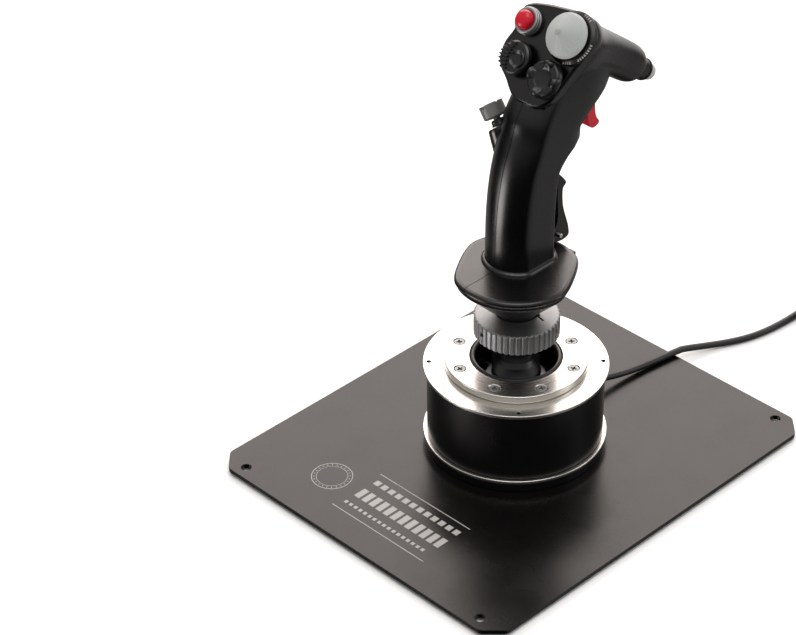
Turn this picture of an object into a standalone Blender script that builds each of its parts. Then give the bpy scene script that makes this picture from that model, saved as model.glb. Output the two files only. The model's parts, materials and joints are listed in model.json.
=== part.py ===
"""Flight joystick: a flat steel plate, a round gimbal base and a military-style hand grip.

Frame: origin at the centre of the plate's footprint on the surface it stands on, +Z up,
+Y forward (away from the pilot), +X to the pilot's right.

Numbers are in millimetres and degrees; the builder functions turn them into metres. Most
pieces are drawn in the stick's own frame, whose Z axis is the upright axis of the gimbal.
The grip's head is drawn in a tilted frame (across, up, deep): across is +X, up runs up the
thumb face, and deep runs from the thumb face to the nose.
"""
import math

import bmesh
import bpy
from mathutils import Matrix, Vector

MM = 0.001
GAP = 0.3                       # clearance between pieces that touch
BASE_STEPS = 32                 # flats around the base's large turned pieces

# ---- driving dimensions -------------------------------------------------------------
PLATE_W, PLATE_D, PLATE_T = 245.3, 293.3, 3.0
FOOT_H = 2.0                    # how far the rubber feet stand below the plate
PLATE_TOP = FOOT_H + PLATE_T
PLATE_CHAMFER, PLATE_CORNER_R = 12.0, 6.0
PLATE_HOLE_R, HOLE_INSET_X, HOLE_INSET_Y = 3.4, 19.5, 8.3
AXIS_X, AXIS_Y = -4.4, 5.6      # the gimbal's upright axis, from the plate's centre

BASE_R = 59.0                   # the two bright rings
HOUSING_R, HOUSING_WALL = 56.5, 3.0
RING_TOP = PLATE_TOP + 59.4
COVER_R, COVER_TOP = 45.8, RING_TOP + 5.1
COVER_SCREWS, SCREW_CIRCLE_R = 8, 38.6
RING_HOLES, RING_HOLE_CIRCLE_R = 4, 55.2
BEZEL_R, BEZEL_INNER_R, BEZEL_TOP = 29.3, 25.8, COVER_TOP + 0.8

PIVOT_Z = 50.0                  # centre of the gimbal
TUBE_R, TUBE_INNER_R = 29.0, 26.5
BALL_R = 11.5
RING_R, RING_INNER_R, RING_HALF_H = 19.5, 15.0, 4.0
PIN_R, PIN_HOLE_R = 2.0, 2.4
FOOT_SPHERE_R = 17.0            # underside of the shaft's foot, about the pivot
SHAFT_R, SHAFT_BORE_R, SHAFT_TOP = 6.0, 3.2, 97.0

NUT_R, NUT_BOTTOM, NUT_TOP = 27.3, 87.7, 104.0
COLLAR_R = 14.0                 # threaded collar at the foot of the grip
FLANGE_R, FLANGE_X, FLANGE_Y = 39.8, 1.6, -3.0
FLANGE_TOP, FLANGE_RIM_Z = 138.0, 131.0

MID_X = -5.0                    # parting plane of the grip
FACE_Y, FACE_Z = 32.5, 288.1    # middle of the thumb face
HEAD_SLOPE = 36.0               # how far the nose points down
NOSE_LENGTH = 103.0
WALL = 2.8                      # wall of the grip's shells
COVER_EDGE_DEEP, COVER_EDGE_UP = 8.0, 1.8   # where the head cover meets the shells

FACE_LOW_UP = -46.0             # lower edge of the head cover on the thumb face
HEAD_SCREW = (0.0, 0.0, 79.0)   # screw through the top of the nose

BOARD_Z = 20.5                  # underside of the sensor board
RELIEF_AT, RELIEF_AXIS = (3.0, 56.0, 22.6), (0.05, 0.906, -0.42)
CABLE_R = 2.25
# Route from the strain relief: over the plate, off its back edge and along the table.
CABLE_ROUTE = [
    (5.1, 82, 10.9), (7.7, 94, 7.5), (10.2, 112, 7.4), (12.8, 129, 7.5), (14.6, 142, 7.1),
    (16.0, 153, 3.9), (18.3, 165, 2.35), (24.6, 174.5, 2.3), (31.5, 183.5, 2.3),
    (36.4, 194, 2.3), (39.2, 207, 2.3), (40.6, 222, 2.3), (40.9, 236, 2.3), (41.0, 249.2, 2.3),
]
COIL_AT, COIL_MEAN_R, COIL_WIDTH, COIL_HEIGHT = (66.0, 272.0, 0.0), 25.0, 13.6, 18.0
PLUG_BACK = 40.0                # from the coil's middle back to the plug

# hat switches: (name, across, up) on the thumb face
TRIM_AT, LEFT_AT, LOWER_AT = (16.4, -0.3), (-13.0, -24.8), (13.0, -29.0)
FIRE_AT = (-17.7, -1.9)
HAT_PIVOT_DEPTH = 8.0
SIDE_HAT_CENTRE = (-33.0, 11.0, 230.0)
SIDE_HAT_AXIS = (-0.66, 0.08, 0.75)
SIDE_HAT_DROP = 15.0            # from the cap's centre down to its pivot

TRIGGER_PIVOT = (64.5, 234.0)   # (y, z)
LEVER_PIVOT = (33.0, 146.0)

# ---- colours and finishes: base colour, metallic, roughness -------------------------
FINISHES = {
    "black_plate": ((0.050, 0.047, 0.045, 1), 0.0, 0.38),
    "bright_metal": ((0.80, 0.79, 0.77, 1), 1.0, 0.32),
    "grey_metal": ((0.42, 0.42, 0.41, 1), 1.0, 0.38),
    "dark_steel": ((0.20, 0.20, 0.20, 1), 1.0, 0.45),
    "brass": ((0.60, 0.45, 0.20, 1), 1.0, 0.35),
    "grip_black": ((0.020, 0.020, 0.021, 1), 0.0, 0.33),
    "black_metal": ((0.025, 0.025, 0.027, 1), 0.0, 0.33),
    "black_plastic": ((0.018, 0.018, 0.018, 1), 0.0, 0.45),
    "grey_plastic": ((0.36, 0.37, 0.36, 1), 0.0, 0.50),
    "dark_grey_plastic": ((0.070, 0.070, 0.065, 1), 0.0, 0.55),
    "red_plastic": ((0.60, 0.008, 0.030, 1), 0.0, 0.35),
    "rubber": ((0.020, 0.020, 0.020, 1), 0.0, 0.80),
    "circuit_board": ((0.010, 0.090, 0.035, 1), 0.0, 0.50),
}


# ---- scene helpers ------------------------------------------------------------------
def clear_scene():
    for obj in list(bpy.data.objects):
        bpy.data.objects.remove(obj, do_unlink=True)


def new_collection(name):
    collection = bpy.data.collections.new(name)
    bpy.context.scene.collection.children.link(collection)
    return collection


def make_materials():
    materials = {}
    for name, (colour, metallic, roughness) in FINISHES.items():
        material = bpy.data.materials.new(name)
        material.use_nodes = True
        shader = material.node_tree.nodes["Principled BSDF"]
        shader.inputs["Base Color"].default_value = colour
        shader.inputs["Metallic"].default_value = metallic
        shader.inputs["Roughness"].default_value = roughness
        material.diffuse_color = colour
        materials[name] = material
    return materials


def metres(*point):
    return Vector(point) * MM


def add_empty(name, at, parent=None):
    empty = bpy.data.objects.new(name, None)
    empty.location = metres(*at)
    empty.empty_display_size = 0.01
    empty.parent = parent
    OBJECTS.objects.link(empty)
    return empty


def add_object(name, mesh, finish, parent=None, at=(0, 0, 0), rotation=None):
    """Link a mesh drawn about the origin, and put it at a point of its parent's frame."""
    obj = bpy.data.objects.new(name, mesh)
    obj.location = metres(*at)
    if rotation is not None:
        obj.rotation_mode = "QUATERNION"
        obj.rotation_quaternion = rotation
    obj.parent = parent
    if finish is None:
        CUTTERS.objects.link(obj)
        obj.hide_render = True
        obj.display_type = "WIRE"
    else:
        mesh.materials.append(MATERIALS[finish])
        OBJECTS.objects.link(obj)
    return obj


def cut(obj, *tools, operation="DIFFERENCE", solver="EXACT"):
    for tool in tools:
        modifier = obj.modifiers.new(operation.lower() + "_" + tool.name, "BOOLEAN")
        modifier.operation = operation
        modifier.object = tool
        modifier.solver = solver


def bevel(obj, width, segments=1, angle=40):
    modifier = obj.modifiers.new("bevel", "BEVEL")
    modifier.width = width * MM
    modifier.segments = segments
    modifier.limit_method = "ANGLE"
    modifier.angle_limit = math.radians(angle)


def toward(axis):
    """Rotation that turns +Z to an axis."""
    return Vector((0, 0, 1)).rotation_difference(Vector(axis).normalized())


# ---- shape helpers ------------------------------------------------------------------
def mesh_from(bm, name):
    mesh = bpy.data.meshes.new(name)
    bm.to_mesh(mesh)
    bm.free()
    return mesh


def smooth(mesh, angle=35):
    mesh.shade_smooth()
    mesh.set_sharp_from_angle(angle=math.radians(angle))


def box_mesh(name, size, centre=(0, 0, 0)):
    bm = bmesh.new()
    bmesh.ops.create_cube(bm, size=1.0)
    bmesh.ops.scale(bm, vec=metres(*size), verts=bm.verts)
    bmesh.ops.translate(bm, vec=metres(*centre), verts=bm.verts)
    return mesh_from(bm, name)


def rod_mesh(name, radius, length, axis="Z", centre=(0, 0, 0), sides=16):
    """A cylinder of a given length, centred on a point."""
    bm = bmesh.new()
    bmesh.ops.create_cone(bm, cap_ends=True, segments=sides, radius1=radius * MM,
                          radius2=radius * MM, depth=length * MM)
    turn = {"X": Matrix.Rotation(math.pi / 2, 3, "Y"),
            "Y": Matrix.Rotation(-math.pi / 2, 3, "X"),
            "Z": Matrix.Identity(3)}[axis]
    bmesh.ops.rotate(bm, cent=(0, 0, 0), matrix=turn, verts=bm.verts)
    bmesh.ops.translate(bm, vec=metres(*centre), verts=bm.verts)
    mesh = mesh_from(bm, name)
    smooth(mesh)
    return mesh


def turned(name, profile, finish, parent=None, at=(0, 0, 0), rotation=None, steps=32,
           closed=False):
    """Turn a profile of (radius, height) points, top first, about the local Z axis.

    An open profile starts and ends on the axis; a closed one is the section of a ring.
    """
    mesh = bpy.data.meshes.new(name)
    points = [metres(radius, 0, height) for radius, height in profile]
    edges = [(i, i + 1) for i in range(len(points) - 1)]
    if closed:
        edges.append((len(points) - 1, 0))
    mesh.from_pydata(points, edges, [])
    obj = add_object(name, mesh, finish, parent, at, rotation)
    screw = obj.modifiers.new("turn", "SCREW")
    screw.steps = steps
    screw.render_steps = steps
    screw.use_merge_vertices = True
    screw.merge_threshold = 0.00001
    screw.use_smooth_shade = True
    return obj


def flat_outline(name, outline, thickness, z_bottom):
    """A prism over a list of (x, y) points, counter-clockwise."""
    bm = bmesh.new()
    loops = [[bm.verts.new(metres(x, y, z)) for x, y in outline]
             for z in (z_bottom, z_bottom + thickness)]
    skin(bm, loops)
    return mesh_from(bm, name)


def skin(bm, loops):
    """Cap the first and last loop, and join each loop to the next."""
    bm.faces.new(list(reversed(loops[0])))
    bm.faces.new(loops[-1])
    count = len(loops[0])
    for low, high in zip(loops, loops[1:]):
        for i in range(count):
            j = (i + 1) % count
            bm.faces.new((low[i], low[j], high[j], high[i]))


def lofted(name, sections, finish=None, parent=None, angle=50):
    """A solid through a list of sections, each a list of points in millimetres."""
    bm = bmesh.new()
    skin(bm, [[bm.verts.new(metres(*point)) for point in section] for section in sections])
    bmesh.ops.recalc_face_normals(bm, faces=bm.faces)
    mesh = mesh_from(bm, name)
    smooth(mesh, angle)
    return add_object(name, mesh, finish, parent)


def arc(centre, radius, start, end, steps):
    angles = [math.radians(start + (end - start) * i / steps) for i in range(steps + 1)]
    return [(centre[0] + radius * math.cos(a), centre[1] + radius * math.sin(a))
            for a in angles]


def between(table, z):
    """Read a smooth curve through the rows (z, value, ...) of a table at a height."""
    rows = sorted(table)
    if z <= rows[0][0]:
        return rows[0][1:]
    if z >= rows[-1][0]:
        return rows[-1][1:]
    k = max(i for i in range(len(rows) - 1) if rows[i][0] <= z)
    r0, r1, r2, r3 = (rows[max(k - 1, 0)], rows[k], rows[k + 1], rows[min(k + 2, len(rows) - 1)])
    span = r2[0] - r1[0]
    t = (z - r1[0]) / span
    values = []
    for c in range(1, len(r1)):
        slope1 = (r2[c] - r0[c]) / (r2[0] - r0[0]) * span
        slope2 = (r3[c] - r1[c]) / (r3[0] - r1[0]) * span
        values.append((2 * t**3 - 3 * t**2 + 1) * r1[c] + (t**3 - 2 * t**2 + t) * slope1
                      + (3 * t**2 - 2 * t**3) * r2[c] + (t**3 - t**2) * slope2)
    return values


# ---- the grip's frames --------------------------------------------------------------
SLOPE = math.radians(HEAD_SLOPE)
ACROSS = Vector((1, 0, 0))
UP_FACE = Vector((0, math.sin(SLOPE), math.cos(SLOPE)))
DEEP = Vector((0, math.cos(SLOPE), -math.sin(SLOPE)))
FACE_CENTRE = Vector((MID_X, FACE_Y, FACE_Z))


def head_point(across, up, deep):
    return FACE_CENTRE + ACROSS * across + UP_FACE * up + DEEP * deep


def head_rotation():
    """Local X across, Y up the face, Z out of the face towards the pilot."""
    return Matrix((ACROSS, UP_FACE, -DEEP)).transposed().to_quaternion()


# ---- base ---------------------------------------------------------------------------
def plate_outline():
    """Rectangle whose corners are cut at 45 degrees, with the cut's ends rounded."""
    half_w, half_d, c = PLATE_W / 2, PLATE_D / 2, PLATE_CHAMFER
    r = PLATE_CORNER_R
    k = r * math.tan(math.radians(22.5))
    outline = []
    for turn in range(4):
        w, d = (half_w, half_d) if turn % 2 == 0 else (half_d, half_w)
        corner = arc((w - r, d - c - k), r, 0, 45, 2) + arc((w - c - k, d - r), r, 45, 90, 2)
        for x, y in corner:
            for _ in range(turn):
                x, y = -y, x
            outline.append((x, y))
    return outline


def make_plate():
    plate = add_object("base_plate", flat_outline("base_plate", plate_outline(), PLATE_T, FOOT_H),
                       "black_plate")
    holes = bmesh.new()
    for sx in (-1, 1):
        for sy in (-1, 1):
            made = bmesh.ops.create_cone(holes, cap_ends=True, segments=16,
                                         radius1=PLATE_HOLE_R * MM, radius2=PLATE_HOLE_R * MM,
                                         depth=4 * PLATE_T * MM)
            at = (sx * (PLATE_W / 2 - HOLE_INSET_X), sy * (PLATE_D / 2 - HOLE_INSET_Y), FOOT_H)
            bmesh.ops.translate(holes, vec=metres(*at), verts=made["verts"])
    cut(plate, add_object("plate_holes", mesh_from(holes, "plate_holes"), None))
    number = 0
    for sx in (-1, 1):
        for sy in (-1, 1):
            number += 1
            at = (sx * (PLATE_W / 2 - 42), sy * (PLATE_D / 2 - 42), 0)
            height = FOOT_H - GAP * 0.2
            turned(f"rubber_foot_{number}",
                   [(0, height), (11, height), (11, 0.6), (10.2, 0), (0, 0)], "rubber", at=at,
                   steps=20)


def make_base_shell(root):
    """The round housing between its two bright rings; returns the height of its floor."""
    flange_top = PLATE_TOP + 6.4
    turned("bottom_flange", [(0, flange_top), (57.6, flange_top), (58.0, flange_top - 1),
                             (58.0, PLATE_TOP + GAP), (0, PLATE_TOP + GAP)], "black_metal", root,
           steps=BASE_STEPS)
    low_ring = flange_top + GAP
    turned("lower_ring", [(0, low_ring + 2), (BASE_R - 0.4, low_ring + 2),
                          (BASE_R, low_ring + 1.6), (BASE_R, low_ring), (0, low_ring)],
           "bright_metal", root, steps=BASE_STEPS)
    low = low_ring + 2 + GAP
    floor = low + HOUSING_WALL
    high = RING_TOP - 2.2 - GAP
    inner = HOUSING_R - HOUSING_WALL
    housing = turned("base_housing",
                     [(0, BOARD_Z - GAP), (9.5, BOARD_Z - GAP), (10.5, floor), (inner, floor),
                      (inner, high), (HOUSING_R, high), (HOUSING_R, low), (0, low)],
                     "black_metal", root, steps=BASE_STEPS)
    cut(housing, turned("relief_hole", [(0, 8), (4.8, 8), (4.8, -8), (0, -8)], None, root,
                        RELIEF_AT, toward(RELIEF_AXIS), steps=16))
    return floor


def make_top(root):
    """Top ring, the raised cover with its countersunk screws, and the bezel in the middle."""
    ring = turned("top_ring", [(BASE_R - 0.4, RING_TOP), (BASE_R, RING_TOP - 0.4),
                               (BASE_R, RING_TOP - 2.2), (30, RING_TOP - 2.2), (30, RING_TOP)],
                  "bright_metal", root, steps=BASE_STEPS, closed=True)
    cover = turned("gimbal_cover", [(COVER_R - 0.5, COVER_TOP), (COVER_R, COVER_TOP - 0.5),
                                    (COVER_R, RING_TOP + GAP), (BEZEL_R + GAP, RING_TOP + GAP),
                                    (BEZEL_R + GAP, COVER_TOP)],
                   "bright_metal", root, steps=BASE_STEPS, closed=True)
    cut(ring, repeated_cone("ring_holes", RING_HOLES, 45, RING_HOLE_CIRCLE_R, RING_TOP, 1.6, 1.6,
                            6, root))
    cut(cover, repeated_cone("screw_seats", COVER_SCREWS, 22.5, SCREW_CIRCLE_R, COVER_TOP - 1.4,
                             1.9, 4.3, 2.9, root),
        repeated_cone("screw_bores", COVER_SCREWS, 22.5, SCREW_CIRCLE_R, COVER_TOP - 3, 1.9, 1.9,
                      8, root))
    for k in range(COVER_SCREWS):
        a = math.radians(22.5 + 360 / COVER_SCREWS * k)
        at = (SCREW_CIRCLE_R * math.cos(a), SCREW_CIRCLE_R * math.sin(a), COVER_TOP)
        turned(f"cover_screw_{k + 1}",
               [(0, -0.2), (3.4, -0.2), (1.5, -2.1), (1.5, -4.7), (0, -4.7)], "grey_metal", root,
               at, steps=12)
    turned("boot_bezel", [(BEZEL_R - 0.8, BEZEL_TOP), (BEZEL_R, BEZEL_TOP - 0.6),
                          (BEZEL_R, RING_TOP - 0.4), (BEZEL_INNER_R, RING_TOP - 0.4),
                          (BEZEL_INNER_R, BEZEL_TOP - 1.6), (BEZEL_INNER_R + 1.2, BEZEL_TOP)],
           "black_plastic", root, steps=BASE_STEPS, closed=True)


def repeated_cone(name, count, first, circle_r, z, low_r, high_r, depth, root):
    """One cutter of equal cones on a circle, each centred on a height."""
    bm = bmesh.new()
    for k in range(count):
        a = math.radians(first + 360 / count * k)
        made = bmesh.ops.create_cone(bm, cap_ends=True, segments=12, radius1=low_r * MM,
                                     radius2=high_r * MM, depth=depth * MM)
        at = metres(circle_r * math.cos(a), circle_r * math.sin(a), z)
        bmesh.ops.translate(bm, vec=at, verts=made["verts"])
    return add_object(name, mesh_from(bm, name), None, root)


def make_gimbal_inside(root, floor):
    """Bearing tube, centring spring and its plate, sensor board and controller board."""
    top = RING_TOP - 0.4 - GAP
    tube = turned("gimbal_tube", [(TUBE_R, top), (TUBE_R, floor + GAP),
                                  (TUBE_INNER_R, floor + GAP), (TUBE_INNER_R, top)],
                  "black_plastic", root, steps=24, closed=True)
    cut(tube, add_object("trunnion_bores", rod_mesh("trunnion_bores", PIN_HOLE_R, 80, "X",
                                                    (0, 0, PIVOT_Z)), None, root))
    plate_top = PIVOT_Z - FOOT_SPHERE_R - 0.6
    plate_low = plate_top - 2.4
    turned("spring_plate", [(TUBE_INNER_R - GAP, plate_top), (TUBE_INNER_R - GAP, plate_low),
                            (7, plate_low), (7, plate_top)], "grey_plastic", root, steps=24,
           closed=True)
    coil_spring("main_spring", 20.0, 1.2, floor + GAP, plate_low - GAP, 3.5, root)
    board = add_object("sensor_board", box_mesh("sensor_board", (24, 16, 1.6)), "circuit_board",
                       root, (0, 0, BOARD_Z + 0.8))
    bevel(board, 2.0, angle=80)
    controller = add_object("main_board", box_mesh("main_board", (36, 1.6, 26)), "circuit_board",
                            root, (0, 38, floor + 20))
    bevel(controller, 1.5, angle=80)


def coil_spring(name, radius, wire, low, high, turns, root):
    """A round-wire compression spring standing between two heights."""
    per_turn = 12
    count = int(turns * per_turn)
    curve = bpy.data.curves.new(name, "CURVE")
    curve.dimensions = "3D"
    spline = curve.splines.new("POLY")
    spline.points.add(count)
    for i, point in enumerate(spline.points):
        a = 2 * math.pi * i / per_turn
        z = low + wire + (high - low - 2 * wire) * i / count
        point.co = (*metres(radius * math.cos(a), radius * math.sin(a), z), 1)
    curve.bevel_depth = wire * MM
    curve.bevel_resolution = 1
    curve.use_fill_caps = True
    curve.materials.append(MATERIALS["dark_steel"])
    spring = bpy.data.objects.new(name, curve)
    spring.parent = root
    OBJECTS.objects.link(spring)


# ---- stick mechanism ----------------------------------------------------------------
def make_gimbal_ring(root):
    ring = turned("gimbal_ring", [(RING_R, RING_HALF_H), (RING_R, -RING_HALF_H),
                                  (RING_INNER_R, -RING_HALF_H), (RING_INNER_R, RING_HALF_H)],
                  "dark_steel", root, (0, 0, PIVOT_Z), steps=24, closed=True)
    outer = TUBE_R - GAP
    middle = (outer + RING_R - 1.5) / 2
    for side in (-1, 1):
        pin = add_object(f"ring_pin_{side}", rod_mesh("ring_pin", PIN_R, outer - RING_R + 1.5, "X",
                                                      (side * middle, 0, 0)), None, root,
                         (0, 0, PIVOT_Z))
        cut(ring, pin, operation="UNION")
    cut(ring, add_object("ring_bores", rod_mesh("ring_bores", PIN_HOLE_R, 60, "Y"), None, root,
                         (0, 0, PIVOT_Z)))


def make_stick_inside(root):
    """Ball, shaft, magnet, bell-shaped cover, and the head that the nut draws down on."""
    bore = SHAFT_R + GAP
    tip = math.degrees(math.asin(bore / BALL_R))
    ball = turned("pivot_ball", arc((0, 0), BALL_R, 90 - tip, tip - 90, 6), "brass", root,
                  (0, 0, PIVOT_Z), steps=20, closed=True)
    outer = RING_R - 0.6
    middle = (outer + bore + 1) / 2
    for side in (-1, 1):
        pin = add_object(f"ball_pin_{side}", rod_mesh("ball_pin", PIN_R, outer - bore - 1, "Y",
                                                      (0, side * middle, 0)), None, root,
                         (0, 0, PIVOT_Z))
        cut(ball, pin, operation="UNION")

    rim = -13.0
    rim_r = math.sqrt(FOOT_SPHERE_R ** 2 - rim ** 2)
    low_angle = -90 + math.degrees(math.asin(3.4 / FOOT_SPHERE_R))
    rim_angle = math.degrees(math.atan2(rim, rim_r))
    underside = arc((0, 0), FOOT_SPHERE_R, rim_angle, low_angle, 3)
    top = SHAFT_TOP - PIVOT_Z
    turned("stick_shaft",
           [(0, -10), (SHAFT_BORE_R, -10), (SHAFT_BORE_R, top), (SHAFT_R, top),
            (SHAFT_R, rim + 1), (rim_r, rim + 1)] + underside + [(3.4, -13.6), (0, -13.6)],
           "dark_steel", root, (0, 0, PIVOT_Z), steps=24)
    turned("sensor_magnet", [(0, -13.9), (3.1, -13.9), (3.1, -16.4), (0, -16.4)], "grey_metal",
           root, (0, 0, PIVOT_Z), steps=16)
    turned("pivot_cover",
           [(bore, 36.5), (10.4, 36.5), (11, 35.9), (11.1, 27), (12.2, 21.5), (14.5, 17.6),
            (18, 14.6), (22, 12.9), (22, 11.6), (17, 12.4), (13, 14.8), (10, 19), (bore, 19)],
           "black_plastic", root, (0, 0, PIVOT_Z), steps=24, closed=True)
    turned("shaft_head", [(9, 97.4), (9, 94.9), (20, 94.9), (20, 90), (bore, 90), (bore, 97.4)],
           "grey_metal", root, steps=24, closed=True)
    turned("grip_connector", [(0, 105), (6.5, 105), (7, 104.5), (7, 97.8), (0, 97.8)],
           "bright_metal", root, steps=20)


def make_nut(root):
    turned("collar_nut",
           [(COLLAR_R + 1.2, NUT_TOP), (COLLAR_R + 2.4, NUT_TOP - 0.6), (NUT_R - 1.2, 101.8),
            (NUT_R, 100.9), (NUT_R, NUT_BOTTOM + 0.5), (NUT_R - 0.5, NUT_BOTTOM),
            (12.5, NUT_BOTTOM), (12.5, 89.7), (20.4, 89.7), (20.4, 95.2),
            (COLLAR_R + GAP, 95.2), (COLLAR_R + GAP, NUT_TOP)],
           "grey_metal", root, steps=BASE_STEPS, closed=True)
    turned("grip_collar", [(COLLAR_R, 128), (COLLAR_R, 98.2), (9.6, 98.2), (9.6, 128)],
           "black_metal", root, steps=24, closed=True)


# ---- grip ---------------------------------------------------------------------------
# Column: height, rear, widest, front, half width of its oval, half width between its flats.
COLUMN = [
    (126, -15.6, 7.0, 28.0, 21.0, 17.8),
    (165, -15.2, 7.0, 28.0, 21.0, 17.8),
    (185, -13.6, 8.0, 29.0, 21.0, 17.8),
    (199, -11.2, 10.0, 31.8, 21.0, 17.8),
    (207, -9.2, 12.0, 41.5, 21.0, 17.8),
    (211, -8.0, 13.0, 50.0, 21.0, 17.9),
    (214, -7.0, 14.0, 53.0, 21.0, 18.0),
    (221, -4.4, 16.0, 53.0, 21.0, 18.0),
    (226, -2.4, 18.0, 58.0, 21.0, 18.0),
    (232, -0.4, 20.0, 68.0, 21.0, 18.0),
    (238, 1.4, 23.0, 78.0, 20.5, 17.8),
    (250, 9.0, 30.0, 82.0, 19.0, 17.0),
    (262, 20.0, 42.0, 72.0, 16.0, 15.0),
]
# Outline of the thumb face (across, up), counter-clockwise from the right.
FACE_OUTLINE = [
    (31.3, 2.0), (28.5, 10.0), (22.0, 15.0), (10.0, 15.6), (-3.0, 14.0), (-14.0, 12.0),
    (-23.5, 9.0), (-28.0, 4.0), (-27.6, -8.7), (-30.0, -18.0), (-29.6, -25.0), (-26.3, -32.8),
    (-18.5, -38.5), (-8.8, -46.2), (2.0, -48.0), (12.0, -47.0), (18.9, -40.9), (22.5, -29.9),
    (26.4, -15.5), (30.2, -4.0),
]
FACE_MIDDLE_UP = -16.0
BARREL_R = 13.0
# Head: depth behind the face, how far it has turned from the face's outline into the
# barrel's circle, and the size there.
HEAD = [
    (0.0, 0.0, 0.955), (1.6, 0.0, 1.0), (9.0, 0.08, 1.0), (20.0, 0.40, 1.0), (34.0, 0.70, 1.0),
    (50.0, 0.90, 1.0), (66.0, 1.0, 1.0), (84.0, 1.0, 0.97), (94.0, 1.0, 0.90),
    (100.0, 1.0, 0.78), (NOSE_LENGTH, 1.0, 0.66),
]


def column_section(z, inset=0.0):
    """One horizontal section of the column, counter-clockwise, flat on both cheeks."""
    rear, widest, front, oval, flat = between(COLUMN, z)
    oval, flat = oval - inset, flat - inset
    rear, front = rear + inset, front - inset
    edge = math.degrees(math.acos(flat / oval))
    quarter = [0, edge / 2, edge] + [edge + (90 - edge) * k / 3 for k in (1, 2)]
    angles = (quarter + [90] + [180 - a for a in reversed(quarter)]
              + [180 + a for a in quarter[1:]] + [270] + [360 - a for a in reversed(quarter[1:])])
    points = []
    for angle in angles:
        a = math.radians(angle)
        x = max(-flat, min(flat, oval * math.cos(a)))
        depth = (front - widest) if math.sin(a) > 0 else (widest - rear)
        points.append((MID_X + x, widest + depth * math.sin(a), z))
    return points


def outline_radius(outline, centre, angle):
    """Distance from a centre to a closed outline along an angle."""
    d = Vector((math.cos(angle), math.sin(angle)))
    c = Vector(centre)
    for p, q in zip(outline, outline[1:] + outline[:1]):
        p, q = Vector(p) - c, Vector(q) - c
        e = q - p
        cross = d.x * e.y - d.y * e.x
        if abs(cross) < 1e-9:
            continue
        distance = (p.x * e.y - p.y * e.x) / cross
        along = (p.x * d.y - p.y * d.x) / cross
        if distance > 0 and -1e-9 <= along <= 1 + 1e-9:
            return distance
    return 0.0


def head_section(deep, inset=0.0):
    """One section of the head across its slope, turning from the face into the barrel."""
    turn, size = between(HEAD, deep)
    middle = FACE_MIDDLE_UP * (1 - turn)
    points = []
    for k in range(24):
        angle = 2 * math.pi * k / 24
        face_r = outline_radius(FACE_OUTLINE, (0, FACE_MIDDLE_UP), angle)
        radius = (face_r * (1 - turn) + BARREL_R * turn) * size - inset
        points.append(head_point(radius * math.cos(angle), middle + radius * math.sin(angle),
                                 deep))
    return points


def box_between(name, low, high, root, rotation=None, at=(0, 0, 0)):
    size = [high[i] - low[i] for i in range(3)]
    centre = [(high[i] + low[i]) / 2 for i in range(3)]
    return add_object(name, box_mesh(name, size, centre), None, root, at, rotation)


def head_box(name, low, high, root):
    """A cutter box in the head's frame: across, up, and outward from the face."""
    return box_between(name, low, high, root, head_rotation(), FACE_CENTRE)


def head_drill(name, across, up, radius, outward, inward, root, sides=20):
    """A cutter that goes into the thumb face."""
    return turned(name, [(0, outward), (radius, outward), (radius, -inward), (0, -inward)], None,
                  root, head_point(across, up, 0), head_rotation(), steps=sides)


def grip_tools(root):
    """Everything that the shells and the head cover are cut or built up with."""
    t = {}
    column_zs = [126, 138, 165, 185, 199, 207, 211, 214, 221, 226, 232, 238, 250, 262]
    t["column"] = lofted("column_form", [column_section(z) for z in column_zs], None, root)
    cavity_zs = [128.3, 150, 175, 192, 203, 212, 222, 230, 240, 250, 258]
    t["column_cavity"] = lofted("column_cavity", [column_section(z, WALL) for z in cavity_zs],
                                None, root)
    t["head"] = lofted("head_form", [head_section(row[0]) for row in HEAD], None, root)
    t["head_cavity"] = lofted("head_cavity", [head_section(d, WALL) for d in
                                              (WALL, 9, 20, 34, 50, 64)], None, root)
    t["flange"] = turned("flange_form",
                         [(0, FLANGE_TOP), (FLANGE_R - 2.6, FLANGE_TOP),
                          (FLANGE_R, FLANGE_TOP - 1.4), (FLANGE_R, FLANGE_TOP - 3.4), (FLANGE_R - 1.6, FLANGE_TOP - 4),
                          (FLANGE_R - 1.8, FLANGE_RIM_Z), (19, 112), (0, 112)],
                         None, root, (FLANGE_X, FLANGE_Y, 0), steps=40)
    t["collar_bore"] = turned("collar_bore", [(0, 128.4), (COLLAR_R + GAP, 128.4),
                                              (COLLAR_R + GAP, 100), (0, 100)], None, root,
                              steps=28)
    axis = Vector(SIDE_HAT_AXIS).normalized()
    t["pod"] = side_pod(axis, root)
    t["nose_bore"] = turned("nose_bore", [(0, 120), (5.8, 120), (5.8, 88), (0, 88)], None, root,
                            FACE_CENTRE, toward(DEEP), steps=20)
    t["screw_bore"] = turned("screw_bore", [(0, 16), (1.7, 16), (1.7, -6.6), (0, -6.6)], None,
                             root, head_point(*HEAD_SCREW), toward(UP_FACE), steps=12)
    t["screw_seat"] = turned("screw_seat", [(0, 16), (2.9, 16), (2.9, 8.1), (0, 8.1)], None,
                             root, head_point(*HEAD_SCREW), toward(UP_FACE), steps=12)
    t["pod_bore"] = turned("pod_bore", [(0, 12), (5.4, 12), (5.4, -7), (0, -7)], None, root,
                           side_pivot(), toward(axis), steps=16)
    return t


def side_pivot():
    """Where the side hat's stem pivots, inside the ledge."""
    return Vector(SIDE_HAT_CENTRE) - Vector(SIDE_HAT_AXIS).normalized() * SIDE_HAT_DROP


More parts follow.
